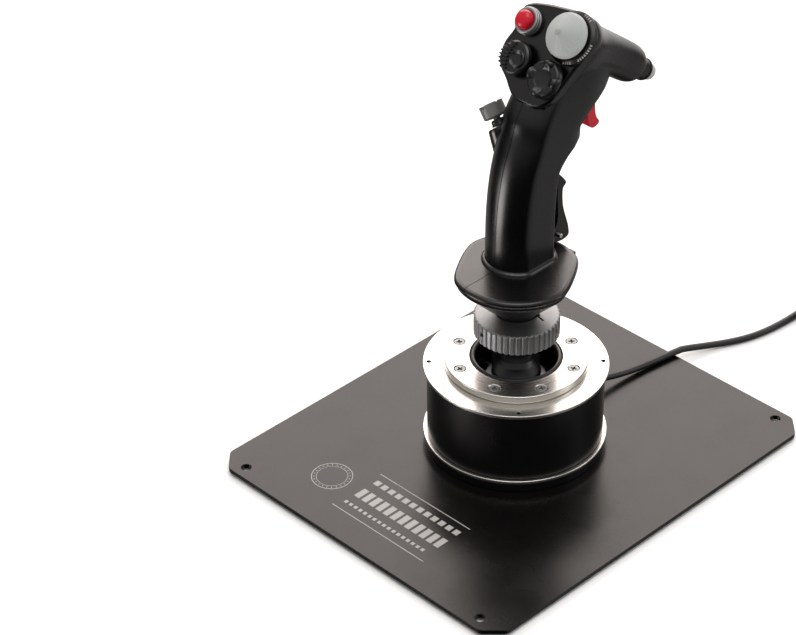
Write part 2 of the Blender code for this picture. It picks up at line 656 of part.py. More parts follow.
def side_pod(axis, root):
    """The ledge on the left of the grip that carries the side hat."""
    turn = toward(axis)
    sections = []
    for centre, radius in (((-14.0, 9.0, 199.0), 9.0),
                           (Vector(SIDE_HAT_CENTRE) - axis * 10.7, 8.0)):
        ring = []
        for k in range(16):
            a = 2 * math.pi * k / 16
            ring.append(Vector(centre) + turn @ Vector((radius * math.cos(a),
                                                        radius * math.sin(a), 0)))
        sections.append(ring)
    return lofted("side_pod_form", sections, None, root)


def shell_tools(t, side, root):
    """Cutters for one half of the grip: the other half's space, and the lug it carries."""
    far = 200
    ly, lz = LEVER_PIVOT
    if side < 0:
        low, high = (MID_X - GAP / 2, -far, 0), (far, far, 2 * far)
    else:
        low, high = (-far, -far, 0), (MID_X + GAP / 2, far, 2 * far)
    lug_x = MID_X + side * 9
    lug = box_between(f"lever_lug_{side}", (lug_x - 1.5, 20, FLANGE_TOP - 2),
                      (lug_x + 1.5, ly + 4, lz + 4.5), root)
    return box_between(f"other_half_{side}", low, high, root), lug


def make_shells(t, root):
    """The two halves of the grip: column, hand rest, and the lower half of the nose."""
    y, z = TRIGGER_PIVOT
    ly, lz = LEVER_PIVOT
    low_edge = FACE_LOW_UP - GAP
    cutters = [
        head_box("shell_face_cut", (-60, low_edge, -COVER_EDGE_DEEP - GAP), (60, 40, 30), root),
        head_box("shell_nose_cut", (-60, COVER_EDGE_UP - GAP, -150), (60, 40, 30), root),
        t["nose_bore"], t["screw_bore"],
        box_between("trigger_slot", (MID_X - 5.4, 59.5, 200), (MID_X + 5.4, 80, 240.3), root),
        add_object("trigger_pin_hole", rod_mesh("trigger_pin_hole", 1.6, 17.6, "X"), None, root,
                   (MID_X, y, z)),
        box_between("lever_recess", (MID_X - 7.2, 26.6, FLANGE_TOP + 0.5),
                    (MID_X + 7.2, 60, 193), root),
        add_object("lever_pin_hole", rod_mesh("lever_pin_hole", 1.8, 22.6, "X"), None, root,
                   (MID_X, ly, lz)),
    ]
    for name, side in (("grip_left", -1), ("grip_right", 1)):
        shell = add_object(name, t["column"].data.copy(), "grip_black", root)
        other_half, lug = shell_tools(t, side, root)
        for tool in (t["head"], t["flange"], t["pod"]):
            cut(shell, tool, operation="UNION", solver="MANIFOLD")
        cut(shell, t["column_cavity"], t["head_cavity"], t["collar_bore"], t["pod_bore"],
            solver="MANIFOLD")
        cut(shell, lug, operation="UNION", solver="MANIFOLD")
        cut(shell, other_half, *cutters, solver="MANIFOLD")


def make_head_cover(t, root):
    """The thumb face and the upper half of the nose, in one piece."""
    cover = add_object("head_cover", t["head"].data.copy(), "grip_black", root)
    region = head_box("cover_face_region", (-60, FACE_LOW_UP, -COVER_EDGE_DEEP), (60, 40, 30),
                      root)
    nose = head_box("cover_nose_region", (-60, COVER_EDGE_UP, -150), (60, 40, 30), root)
    cut(region, nose, operation="UNION", solver="MANIFOLD")
    cut(cover, t["head_cavity"], solver="MANIFOLD")
    cut(cover, region, operation="INTERSECT", solver="MANIFOLD")
    cut(cover, t["nose_bore"], t["screw_bore"], t["screw_seat"], solver="MANIFOLD")
    for name, at, radius in (("trim", TRIM_AT, 6.0), ("left", LEFT_AT, 5.5),
                             ("lower", LOWER_AT, 5.5), ("fire", FIRE_AT, 6.4)):
        cut(cover, head_drill(f"{name}_hole", *at, radius, 10, 12, root), solver="MANIFOLD")


def make_grip_fittings(root):
    """Fixed pieces on the grip: trim ring, button collars, screw, board and pins."""
    turn = head_rotation()
    turned("trim_ring", [(15.2, 3.2), (15.8, 2.6), (15.8, GAP), (7.5, GAP), (7.5, 3.2)],
           "black_plastic", root, head_point(*TRIM_AT, 0), turn, steps=24, closed=True)
    turned("fire_collar", [(8.0, 5.2), (8.7, 4.5), (8.7, GAP), (6.35, GAP), (6.35, 5.2)],
           "grey_metal", root, head_point(*FIRE_AT, 0), turn, steps=20, closed=True)
    turned("nose_collar", [(7.7, 2.6), (8.4, 1.9), (8.4, GAP), (5.9, GAP), (5.9, 2.6)],
           "black_plastic", root, head_point(0, 0, NOSE_LENGTH), toward(DEEP), steps=20,
           closed=True)
    turned("head_screw", [(0, 10.4), (2.5, 10.4), (2.5, 8.4), (1.4, 8.4), (1.4, -6), (0, -6)],
           "dark_steel", root, head_point(*HEAD_SCREW), toward(UP_FACE), steps=12)
    board = add_object("grip_board", box_mesh("grip_board", (15, 1.6, 50)), "circuit_board", root,
                       (MID_X, 3, 166))
    bevel(board, 1.5, angle=80)
    y, z = TRIGGER_PIVOT
    add_object("trigger_pin", rod_mesh("trigger_pin", 1.3, 17.0, "X", sides=12), "dark_steel",
               root, (MID_X, y, z))
    y, z = LEVER_PIVOT
    add_object("lever_pin", rod_mesh("lever_pin", 1.5, 21.6, "X", sides=12), "bright_metal", root,
               (MID_X, y, z))


def side_profile(name, outline, width, pivot, hole_r, finish, root):
    """A flat lever drawn in the YZ plane about its pivot, with a hole for its pin."""
    y0, z0 = pivot
    bm = bmesh.new()
    loops = [[bm.verts.new(metres(x, y - y0, z - z0)) for y, z in outline]
             for x in (-width / 2, width / 2)]
    skin(bm, loops)
    bmesh.ops.recalc_face_normals(bm, faces=bm.faces)
    lever = add_object(name, mesh_from(bm, name), finish, root, (MID_X, y0, z0))
    cut(lever, add_object(f"{name}_bore", rod_mesh(f"{name}_bore", hole_r, width + 4, "X",
                                                   sides=12), None, root, (MID_X, y0, z0)))
    bevel(lever, 0.8, angle=50)
    return lever


def make_levers(root):
    y, z = TRIGGER_PIVOT
    hub = arc((y, z), 3.4, 10, 190, 6)
    side_profile("trigger",
                 hub + [(61.3, 229), (60.7, 224), (61.2, 217), (63.2, 209.4), (66.5, 207.8),
                        (70.8, 208.6), (71.8, 210.4), (69.4, 214), (67.9, 219), (67.6, 224),
                        (68.1, 229)], 9.4, TRIGGER_PIVOT, 1.6, "red_plastic", root)
    side_profile("paddle_lever",
                 [(31.5, 141), (36, 138.9), (44.5, 139.2), (44.8, 143), (43.6, 149), (40.8, 157),
                  (38.7, 164.5), (38.0, 172), (38.4, 177.2), (41.2, 180), (39, 183.5),
                  (33.9, 189.3), (32.7, 188.5), (33.2, 180), (33.4, 170), (34.2, 160),
                  (33, 152), (29.8, 149), (29.2, 145)], 13.0, LEVER_PIVOT, 1.8,
                 "black_metal", root)


def make_buttons(root):
    turned("fire_button", [(0, 10.4), (3.4, 10.1), (5.2, 9.0), (6.0, 7.2), (6.0, -2.4), (0, -2.4)],
           "red_plastic", root, head_point(*FIRE_AT, 0), head_rotation(), steps=20)
    turned("nose_button", [(0, 9.4), (4.2, 9.4), (5.4, 8.4), (5.5, -5), (0, -5)],
           "grey_plastic", root, head_point(0, 0, NOSE_LENGTH), toward(DEEP), steps=20)


def make_hat(name, pivot, rotation, cap, finish, root, steps=20):
    """A hat switch: the cap tilts on a small rocker, which tilts the other way."""
    turned(f"{name}_rocker", [(0, 0.7), (3.0, 0.7), (4.0, 0.2), (4.0, -1.2), (0, -1.5)],
           "dark_grey_plastic", root, pivot, rotation, steps=12)
    stem = [(2.3, 1.6), (0, 1.6)]
    return turned(f"{name}_hat", cap + stem, finish, root, pivot, rotation, steps=steps)


def make_hats(root):
    turn = head_rotation()
    d = HAT_PIVOT_DEPTH
    make_hat("trim", head_point(*TRIM_AT, d), turn,
             [(0, 26.4), (2.6, 26.1), (4.4, 25.2), (9.0, 21.6), (12.6, 18.4), (14.0, 16.4),
              (14.0, 14.8), (13.2, 13.8), (4.6, 13.0), (2.3, 12.4)], "grey_plastic", root)
    make_hat("left", head_point(*LEFT_AT, d), turn,
             [(0, 17.0), (6.0, 16.6), (9.6, 15.0), (10.8, 13.0), (10.8, 11.8), (9.8, 11.0),
              (2.3, 10.6)], "black_plastic", root)
    make_hat("lower", head_point(*LOWER_AT, d), turn,
             [(0, 15.2), (6.0, 15.6), (9.6, 18.0), (11.6, 17.2), (12.4, 14.6), (12.0, 12.2),
              (11.0, 11.3), (2.3, 10.8)], "black_plastic", root)
    axis = Vector(SIDE_HAT_AXIS).normalized()
    h = SIDE_HAT_DROP
    hat = make_hat("side", side_pivot(), toward(axis),
                   [(0, h + 3.4), (4.6, h + 3.4), (4.9, h + 4.3), (7.7, h + 4.3), (7.7, h - 4.0),
                    (7.0, h - 4.5), (2.3, h - 5)], "dark_grey_plastic", root)
    notch = box_mesh("side_notches_a", (30, 3.4, 6), (0, 0, h + 5.4))
    cross = box_mesh("side_notches_b", (3.4, 30, 6), (0, 0, h + 5.4))
    for mesh in (notch, cross):
        tool = add_object(mesh.name, mesh, None, root, side_pivot(), toward(axis))
        cut(hat, tool)


# ---- cable --------------------------------------------------------------------------
def smooth_route(points, per_span):
    """A smooth curve through hand-placed points, every span cut into equal steps."""
    ends = [2 * points[0] - points[1]] + points + [2 * points[-1] - points[-2]]
    route = []
    for k in range(1, len(ends) - 2):
        p0, p1, p2, p3 = ends[k - 1:k + 3]
        for i in range(per_span):
            t = i / per_span
            route.append(0.5 * (2 * p1 + (p2 - p0) * t + (2 * p0 - 5 * p1 + 4 * p2 - p3) * t**2
                                + (3 * p1 - p0 - 3 * p2 + p3) * t**3))
    return route + [points[-1]]


def make_cable(root):
    """Strain relief, the free cable to its coil, and the plug beside the coil."""
    axis = Vector(RELIEF_AXIS).normalized()
    turned("strain_relief",
           [(0, 18), (2.9, 18), (3.1, 17.4), (4.3, 6.0), (5.6, 5.4), (5.6, 4.0), (4.4, 4.0),
            (4.4, -6.4), (6.0, -6.4), (6.0, -8.0), (0, -8.0)],
           "rubber", root, RELIEF_AT, toward(axis), steps=16)
    start = Vector(RELIEF_AT) + axis * (18 + GAP)
    tube = bpy.data.curves.new("cable", "CURVE")
    tube.dimensions = "3D"
    spline = tube.splines.new("POLY")
    route = smooth_route([start] + [Vector(p) for p in CABLE_ROUTE], 3)
    spline.points.add(len(route) - 1)
    for point, place in zip(spline.points, route):
        point.co = (*(place * MM), 1)
    tube.bevel_depth = CABLE_R * MM
    tube.bevel_resolution = 2
    tube.use_fill_caps = True
    tube.materials.append(MATERIALS["rubber"])
    cable = bpy.data.objects.new("cable", tube)
    cable.parent = root
    OBJECTS.objects.link(cable)
    inner, outer = COIL_MEAN_R - COIL_WIDTH / 2, COIL_MEAN_R + COIL_WIDTH / 2
    turned("cable_coil", [(outer - 2, COIL_HEIGHT), (outer, COIL_HEIGHT - 2), (outer, 2),
                          (outer - 2, 0), (inner + 2, 0), (inner, 2), (inner, COIL_HEIGHT - 2),
                          (inner + 2, COIL_HEIGHT)], "rubber", root, COIL_AT, steps=24,
           closed=True)
    x, y, _ = COIL_AT
    body = add_object("usb_plug_body", box_mesh("usb_plug_body", (15.6, 30, 8.0)), "rubber", root,
                      (x + COIL_MEAN_R, y - PLUG_BACK - 15, 4.3))
    bevel(body, 1.6, 2)
    add_object("usb_plug_shell", box_mesh("usb_plug_shell", (12, 12, 4.5)), "bright_metal", root,
               (x + COIL_MEAN_R, y - PLUG_BACK - 30 - GAP - 6, 4.3))


def main():
    make_plate()
    root = add_empty("gimbal_axis", (AXIS_X, AXIS_Y, 0))
    floor = make_base_shell(root)
    make_top(root)
    make_gimbal_inside(root, floor)
    make_cable(root)
    make_gimbal_ring(root)
    # The stick hangs on an empty at the gimbal's centre; its frame measures heights from
    # the surface, like the base's.
    pivot = add_empty("stick_pivot", (0, 0, PIVOT_Z), root)
    stick = add_empty("stick_frame", (0, 0, -PIVOT_Z), pivot)
    make_stick_inside(stick)
    make_nut(stick)
    tools = grip_tools(stick)
    make_shells(tools, stick)
    make_head_cover(tools, stick)
    make_grip_fittings(stick)
    make_levers(stick)
    make_buttons(stick)
    make_hats(stick)


clear_scene()
OBJECTS = new_collection("flight_joystick")
CUTTERS = new_collection("cutters")
MATERIALS = make_materials()
main()
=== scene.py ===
"""Looks of the flight joystick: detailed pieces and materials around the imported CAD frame.

Numbers are in millimetres and degrees in the stick's own frame, whose Z axis is the base's
upright axis; heights are from the surface that the plate stands on. The helpers turn them
into metres in the row's frame.
"""
import json
import math

import bmesh
import bpy
from mathutils import Matrix, Vector


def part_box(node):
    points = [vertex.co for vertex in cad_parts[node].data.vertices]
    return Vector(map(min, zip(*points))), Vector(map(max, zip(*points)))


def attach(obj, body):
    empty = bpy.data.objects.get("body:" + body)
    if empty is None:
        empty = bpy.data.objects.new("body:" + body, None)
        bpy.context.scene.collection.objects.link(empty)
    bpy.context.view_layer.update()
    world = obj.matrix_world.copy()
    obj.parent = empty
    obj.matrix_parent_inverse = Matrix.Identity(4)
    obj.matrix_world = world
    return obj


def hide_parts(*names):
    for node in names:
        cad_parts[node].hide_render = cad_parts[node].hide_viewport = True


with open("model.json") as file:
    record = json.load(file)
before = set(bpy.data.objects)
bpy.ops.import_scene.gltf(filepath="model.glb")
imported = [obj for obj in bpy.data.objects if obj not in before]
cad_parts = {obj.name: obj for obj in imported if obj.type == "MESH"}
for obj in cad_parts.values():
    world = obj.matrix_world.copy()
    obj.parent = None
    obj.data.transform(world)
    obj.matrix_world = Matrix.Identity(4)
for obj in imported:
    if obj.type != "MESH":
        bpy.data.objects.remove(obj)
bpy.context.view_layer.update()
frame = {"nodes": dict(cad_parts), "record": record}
SLOT_OF = {part["node"]: part["material_slot"] for part in frame["record"]["subparts"]}

MM = 0.001


def middle(node):
    low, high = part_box(node)
    return (low + high) / 2 / MM


def top_of(node):
    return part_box(node)[1].z / MM


AXIS_X, AXIS_Y, _ = middle("base_housing")
PLATE_TOP = top_of("base_plate")
RING_TOP = top_of("top_ring")
RING_BOTTOM = RING_TOP - 2.2
COVER_TOP = top_of("gimbal_cover")
NUT_TOP = top_of("collar_nut")
STICK_AXIS = Vector((AXIS_X, AXIS_Y, 0))
CAD_GAP = 0.3                   # clearance that the CAD pieces keep
GAP = 0.12                      # clearance between the detailed pieces


def box_here(node):
    """The low and high corner of a CAD node, in the stick's frame."""
    return [corner / MM - STICK_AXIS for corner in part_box(node)]


def placed(name, data):
    """A new object in the scene."""
    obj = bpy.data.objects.new(name, data)
    bpy.context.scene.collection.objects.link(obj)
    return obj


# ---- camera and studio --------------------------------------------------------------
CAMERA_AT = (0.9516, -1.0323, 1.0742)
CAMERA_AZIMUTH, CAMERA_ELEVATION, CAMERA_ROLL = 45.6703, 34.6869, -0.6073
LENS = 123.87


def make_camera():
    data = bpy.data.cameras.new("camera")
    data.lens = LENS
    data.sensor_width = 36
    data.clip_start, data.clip_end = 0.05, 50
    camera = placed("camera", data)
    camera.matrix_world = Matrix.Translation(CAMERA_AT)
    for degrees, axis in ((CAMERA_AZIMUTH, "Z"), (90 - CAMERA_ELEVATION, "X"), (CAMERA_ROLL, "Z")):
        camera.matrix_world @= Matrix.Rotation(math.radians(degrees), 4, axis)
    bpy.context.scene.camera = camera


def softbox(name, at, aim, size, radiance, colour=(1, 1, 1)):
    """An area light of a given brightness, facing a point."""
    data = bpy.data.lights.new(name, "AREA")
    data.color = colour
    data.shape = "RECTANGLE"
    data.size, data.size_y = size
    data.energy = radiance * math.pi * size[0] * size[1]
    light = placed(name, data)
    light.location = at
    light.rotation_euler = (Vector(aim) - Vector(at)).to_track_quat("-Z", "Y").to_euler()


def node(tree, kind, inputs=(), **settings):
    """Add a shader node; inputs maps a socket's name or number to a value or an output."""
    made = tree.nodes.new(kind)
    for key, value in settings.items():
        setattr(made, key, value)
    for key, value in dict(inputs).items():
        if isinstance(value, bpy.types.NodeSocket):
            tree.links.new(value, made.inputs[key])
        else:
            made.inputs[key].default_value = value
    return made


def sky_card(tree, direction, aim, inner, outer, strength):
    """Brightness of a soft round card in the surroundings, seen along a direction."""
    dot = node(tree, "ShaderNodeVectorMath", {0: direction, 1: Vector(aim).normalized()},
               operation="DOT_PRODUCT")
    spot = node(tree, "ShaderNodeMapRange",
                {"Value": dot.outputs["Value"], "From Min": math.cos(math.radians(outer)),
                 "From Max": math.cos(math.radians(inner)), "To Min": 0.0, "To Max": strength},
                interpolation_type="SMOOTHSTEP")
    return spot.outputs["Result"]


def make_studio():
    world = bpy.data.worlds.new("studio")
    world.use_nodes = True
    tree = world.node_tree
    tree.nodes.clear()
    direction = node(tree, "ShaderNodeTexCoord").outputs["Generated"]
    height = node(tree, "ShaderNodeSeparateXYZ", {0: direction}).outputs["Z"]
    total = node(tree, "ShaderNodeMapRange",
                 {"Value": height, "From Min": -0.15, "From Max": 0.5, "To Min": 0.02,
                  "To Max": 0.62}, interpolation_type="SMOOTHSTEP").outputs["Result"]
    for aim, inner, outer, strength in (
            ((-0.45, -0.83, -0.33), 5, 17, 9.0),      # long highlight on the grip's left
            ((0.588, 0.575, -0.569), 10, 55, 0.36),     # broad sheen on the right cheek
            ((-0.405, 0.909, -0.08), 10, 34, 1.1),      # top of the nose
            ((-0.75, 0.30, -0.45), 10, 40, 0.30)):      # rim of the far left side
        card = sky_card(tree, direction, aim, inner, outer, strength)
        total = node(tree, "ShaderNodeMath", {0: total, 1: card}, operation="ADD").outputs[0]
    shade = node(tree, "ShaderNodeBackground", {"Color": (1.0, 0.975, 0.95, 1),
                                                "Strength": total})
    out = node(tree, "ShaderNodeOutputWorld", {"Surface": shade.outputs[0]})
    out.is_active_output = True
    bpy.context.scene.world = world
    bpy.context.scene.view_settings.view_transform = "Standard"

    softbox("back_softbox", (-1.45, 1.40, 1.45), (0, 0, 0.05), (2.6, 1.7), 3.6,
            (1.0, 0.90, 0.85))
    softbox("top_softbox", (0.25, -0.15, 2.3), (0, 0, 0.1), (1.6, 1.6), 3.2)
    softbox("right_softbox", (1.6, 1.3, 0.9), (0, 0, 0.2), (0.8, 1.2), 2.2)

    mesh = bpy.data.meshes.new("floor")
    mesh.from_pydata([(-8, -8, 0), (8, -8, 0), (8, 8, 0), (-8, 8, 0)], [], [(0, 1, 2, 3)])
    floor = placed("floor", mesh)
    floor.location.z = -0.0002
    floor.visible_glossy = False
    floor.visible_shadow = False
    paper = bpy.data.materials.new("floor_paper")
    paper.use_nodes = True
    shader = paper.node_tree.nodes["Principled BSDF"]
    shader.inputs["Base Color"].default_value = (0.93, 0.93, 0.93, 1)
    shader.inputs["Roughness"].default_value = 0.9
    shader.inputs["Specular IOR Level"].default_value = 0.0
    mesh.materials.append(paper)


# ---- materials ----------------------------------------------------------------------
def finish(name, colour, metallic, roughness, specular=0.5, patchy=0.12, grain=1500.0,
           bump=0.10, uneven=0.05, edge=0.35, coat=0.0, brushed=None, anisotropy=0.0):
    """A finish with fine grain, a little patchiness, uneven gloss and softened edges.

    brushed is None, "turned" for rings of tool marks about the base's axis, or "upright"
    for marks that run round an upright wall.
    """
    material = bpy.data.materials.new(name)
    material.use_nodes = True
    tree = material.node_tree
    shader = tree.nodes["Principled BSDF"]
    for socket, value in (("Metallic", metallic), ("Specular IOR Level", specular),
                          ("Coat Weight", coat), ("Coat Roughness", 0.12),
                          ("Anisotropic", anisotropy)):
        shader.inputs[socket].default_value = value
    where = node(tree, "ShaderNodeTexCoord").outputs["Object"]
    cloud = node(tree, "ShaderNodeTexNoise", {"Vector": where, "Scale": 38.0, "Detail": 3.0})
    dark = [c * (1 - patchy) for c in colour[:3]] + [1]
    light = [min(1, c * (1 + patchy)) for c in colour[:3]] + [1]
    tint = node(tree, "ShaderNodeMix", {0: cloud.outputs["Fac"], 6: dark, 7: light},
                data_type="RGBA")
    tree.links.new(tint.outputs[2], shader.inputs["Base Color"])

    fine = node(tree, "ShaderNodeTexNoise", {"Vector": where, "Scale": grain, "Detail": 2.0})
    height, gloss = fine.outputs["Fac"], cloud.outputs["Fac"]
    if brushed:
        apart = node(tree, "ShaderNodeSeparateXYZ", {0: where})
        flat = node(tree, "ShaderNodeVectorMath", {0: where, 1: (1, 1, 0)},
                    operation="MULTIPLY")
        radius = node(tree, "ShaderNodeVectorMath", {0: flat.outputs[0], 1: STICK_AXIS * MM},
                      operation="DISTANCE")
        along = radius.outputs["Value"] if brushed == "turned" else apart.outputs["Z"]
        line = node(tree, "ShaderNodeCombineXYZ", {"X": along})
        marks = node(tree, "ShaderNodeTexNoise", {"Vector": line.outputs[0], "Scale": 2600.0,
                                                  "Detail": 4.0})
        height = gloss = marks.outputs["Fac"]
    rough = node(tree, "ShaderNodeMapRange",
                 {"Value": gloss, "From Min": 0.3, "From Max": 0.7,
                  "To Min": max(0.02, roughness - uneven), "To Max": roughness + uneven})
    tree.links.new(rough.outputs["Result"], shader.inputs["Roughness"])
    rounded = node(tree, "ShaderNodeBevel", {"Radius": edge * MM}, samples=4)
    relief = node(tree, "ShaderNodeBump", {"Strength": bump, "Distance": 0.0002,
                                           "Height": height,
                                           "Normal": rounded.outputs["Normal"]})
    tree.links.new(relief.outputs["Normal"], shader.inputs["Normal"])
    if anisotropy:
        tangent = node(tree, "ShaderNodeTangent", direction_type="RADIAL", axis="Z")
        tree.links.new(tangent.outputs[0], shader.inputs["Tangent"])
    return material


def make_finishes():
    return {
        "black_plate": finish("plate_satin", (0.0016, 0.0013, 0.0011), 0.0, 0.27, 0.33,
                              grain=2600, bump=0.06, uneven=0.03),
        "bright_metal": finish("brushed_ring", (0.66, 0.635, 0.60), 1.0, 0.26, patchy=0.03,
                               brushed="turned", anisotropy=0.15),
        "grey_metal": finish("blasted_alloy", (0.30, 0.305, 0.31), 1.0, 0.50, grain=4200,
                             bump=0.14, patchy=0.08),
        "dark_steel": finish("oiled_steel", (0.20, 0.20, 0.205), 1.0, 0.40),
        "brass": finish("turned_brass", (0.62, 0.45, 0.19), 1.0, 0.30, brushed="upright"),
        "grip_black": finish("grip_moulding", (0.0010, 0.0009, 0.0009), 0.0, 0.27,
                             grain=3200, bump=0.05, uneven=0.035, edge=0.5),
        "black_metal": finish("black_anodise", (0.0014, 0.0013, 0.0013), 0.0, 0.30,
                              grain=3600, bump=0.05, uneven=0.03),
        "black_plastic": finish("black_moulding", (0.0045, 0.0044, 0.0046), 0.0, 0.34, 0.45,
                                grain=2600, bump=0.12, edge=0.25),
        "grey_plastic": finish("pale_moulding", (0.36, 0.375, 0.37), 0.0, 0.42, 0.40,
                               grain=3000, bump=0.12, patchy=0.07),
        "dark_grey_plastic": finish("slate_moulding", (0.115, 0.115, 0.108), 0.0, 0.42, 0.45,
                                    grain=2600, bump=0.20, edge=0.25),
        "red_plastic": finish("red_moulding", (0.46, 0.002, 0.014), 0.0, 0.30, 0.35,
                              grain=2400, bump=0.05, coat=0.1, patchy=0.08),
        "rubber": finish("cable_rubber", (0.012, 0.012, 0.012), 0.0, 0.46, 0.45, grain=1800,
                         uneven=0.06),
        "circuit_board": finish("board_mask", (0.010, 0.085, 0.030), 0.0, 0.38,
                                grain=700, patchy=0.35),
        "mark_white": finish("printed_mark", (0.40, 0.385, 0.37), 0.0, 0.55, 0.3, patchy=0.2),
        "pale_tip": finish("pale_tip", (0.27, 0.28, 0.275), 0.0, 0.42, 0.40, bump=0.12),
        # painted shade: near-black matte finish for discs set inside the ring's holes
        "hollow": finish("painted_hole_shade", (0.003, 0.003, 0.003), 0.0, 0.7, 0.2),
    }


# ---- helpers ------------------------------------------------------------------------
def row(point):
    """A point of the stick's frame, in metres in the row's frame."""
    return (Vector(point) + STICK_AXIS) * MM


def toward(axis):
    return Vector((0, 0, 1)).rotation_difference(Vector(axis).normalized())


def spun(turn, degrees):
    """A turn after a spin about the upright axis."""
    return turn @ Matrix.Rotation(math.radians(degrees), 3, "Z").to_quaternion()


def smooth(mesh, sharp):
    """Shade a mesh smooth, but for its edges past an angle."""
    mesh.shade_smooth()
    mesh.set_sharp_from_angle(angle=math.radians(sharp))


def made_of(name, bm, sharp=38):
    mesh = bpy.data.meshes.new(name)
    bm.to_mesh(mesh)
    bm.free()
    smooth(mesh, sharp)
    return placed(name, mesh)


def mesh_object(name, bm, sharp=38, at=(0, 0, 0), turn=None):
    """Turn and move a bmesh drawn in millimetres, and make it an object in the row."""
    turned = Matrix() if turn is None else turn.to_matrix().to_4x4()
    bm.transform(Matrix.Translation(at) @ turned)
    bmesh.ops.recalc_face_normals(bm, faces=bm.faces)
    bm.transform(Matrix.Scale(MM, 4) @ Matrix.Translation(STICK_AXIS))
    return made_of(name, bm, sharp)


def settle(obj, sharp=None):
    """Apply an object's modifiers."""
    bpy.context.view_layer.update()
    graph = bpy.context.evaluated_depsgraph_get()
    mesh = bpy.data.meshes.new_from_object(obj.evaluated_get(graph))
    obj.modifiers.clear()
    obj.data = mesh
    if sharp:
        smooth(mesh, sharp)
    return obj


def carve(obj, *tools, operation="DIFFERENCE", keep=False, sharp=38):
    for tool in tools:
        modifier = obj.modifiers.new("carve", "BOOLEAN")
        modifier.operation = operation
        modifier.solver = "MANIFOLD"
        modifier.object = tool
        settle(obj, sharp)
    if not keep:
        for tool in tools:
            bpy.data.objects.remove(tool)
    return obj


def rounded(obj, width, segments=3, angle=40):
    modifier = obj.modifiers.new("round", "BEVEL")
    modifier.width = width * MM
    modifier.segments = segments
    modifier.limit_method = "ANGLE"
    modifier.angle_limit = math.radians(angle)
    return settle(obj, 50)


def paint(obj, slot):
    obj.data.materials.clear()
    obj.data.materials.append(FINISHES[slot])


def put(obj, body, slot, *nodes):
    """Give a piece its finish and its body, and hide the CAD nodes that it stands for."""
    if obj.type == "MESH":          # keeps wide flat faces flat beside small rounded edges
        weigh = obj.modifiers.new("weigh", "WEIGHTED_NORMAL")
        weigh.keep_sharp = True
        settle(obj)
    paint(obj, slot)
    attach(obj, body)
    if nodes:
        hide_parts(*nodes)
    return obj


def soften(profile, radius, closed=False, steps=3):
    """Round a profile's corners with short curves."""
    points = [Vector(p) for p in profile]
    count = len(points)
    out = []
    for i, p in enumerate(points):
        if not closed and i in (0, count - 1):
            out.append(tuple(p))
            continue
        before, after = points[i - 1] - p, points[(i + 1) % count] - p
        turn = before.angle(-after, 0)
        if turn < math.radians(12):
            out.append(tuple(p))
            continue
        reach = min(radius, 0.45 * before.length, 0.45 * after.length)
        a, b = p + before.normalized() * reach, p + after.normalized() * reach
        for k in range(steps + 1):
            t = k / steps
            out.append(tuple(a * (1 - t) ** 2 + p * 2 * t * (1 - t) + b * t ** 2))
    return out


def lathe(name, profile, at=(0, 0, 0), turn=None, steps=96, closed=False, soft=0.3,
          wave=None, sharp=38):
    """Turn a profile of (radius, height) points; wave may move a point by its angle."""
    if soft:
        profile = soften(profile, soft, closed)
    bm = bmesh.new()
    rings = []
    for radius, height in profile:
        if radius < 1e-6:
            rings.append([bm.verts.new((0, 0, height))])
            continue
        ring = []
        for k in range(steps):
            a = 2 * math.pi * k / steps
            r, h = wave(a, radius, height) if wave else (radius, height)
            ring.append(bm.verts.new((r * math.cos(a), r * math.sin(a), h)))
        rings.append(ring)
    pairs = list(zip(rings, rings[1:]))
    if closed:
        pairs.append((rings[-1], rings[0]))
    for high, low in pairs:
        for k in range(steps):
            j = (k + 1) % steps
            corners = ([high[0]] if len(high) == 1 else [high[k], high[j]])
            corners += ([low[0]] if len(low) == 1 else [low[j], low[k]])
            if len(corners) > 2:
                bm.faces.new(corners)
    return mesh_object(name, bm, sharp, at, turn)


def drill(radius, top, bottom, at=(0, 0, 0), turn=None, steps=48):
    """A plain cylinder between two heights, mostly to cut a hole with."""
    return lathe("drill", [(0, top), (radius, top), (radius, bottom), (0, bottom)], at, turn,
                 steps, soft=0)


def skin(bm, loops):
    """Cap the first and last loop, and join each loop to the next."""
    loops = [[bm.verts.new(p) for p in loop] for loop in loops]
    bm.faces.new(list(reversed(loops[0])))
    bm.faces.new(loops[-1])
    count = len(loops[0])
    for low, high in zip(loops, loops[1:]):
        for i in range(count):
            j = (i + 1) % count
            bm.faces.new((low[i], low[j], high[j], high[i]))
    return bm


def lofted(name, sections, sharp=38):
    return mesh_object(name, skin(bmesh.new(), sections), sharp)


def box(name, low, high, turn=None, at=(0, 0, 0)):
    bm = bmesh.new()
    bmesh.ops.create_cube(bm, size=1)
    bmesh.ops.scale(bm, vec=[h - l for l, h in zip(low, high)], verts=bm.verts)
    bmesh.ops.translate(bm, vec=[(h + l) / 2 for l, h in zip(low, high)], verts=bm.verts)
    return mesh_object(name, bm, at=at, turn=turn)


def merged(name, pieces):
    """One object of several separate solids."""
    bm = bmesh.new()
    for piece in pieces:
        bm.from_mesh(piece.data)
        bpy.data.objects.remove(piece)
    return made_of(name, bm)


def arc(centre, radius, start, end, steps):
    angles = [math.radians(start + (end - start) * i / steps) for i in range(steps + 1)]
    return [(centre[0] + radius * math.cos(a), centre[1] + radius * math.sin(a))
            for a in angles]


def on_circle(radius, degrees, height):
    a = math.radians(degrees)
    return (radius * math.cos(a), radius * math.sin(a), height)


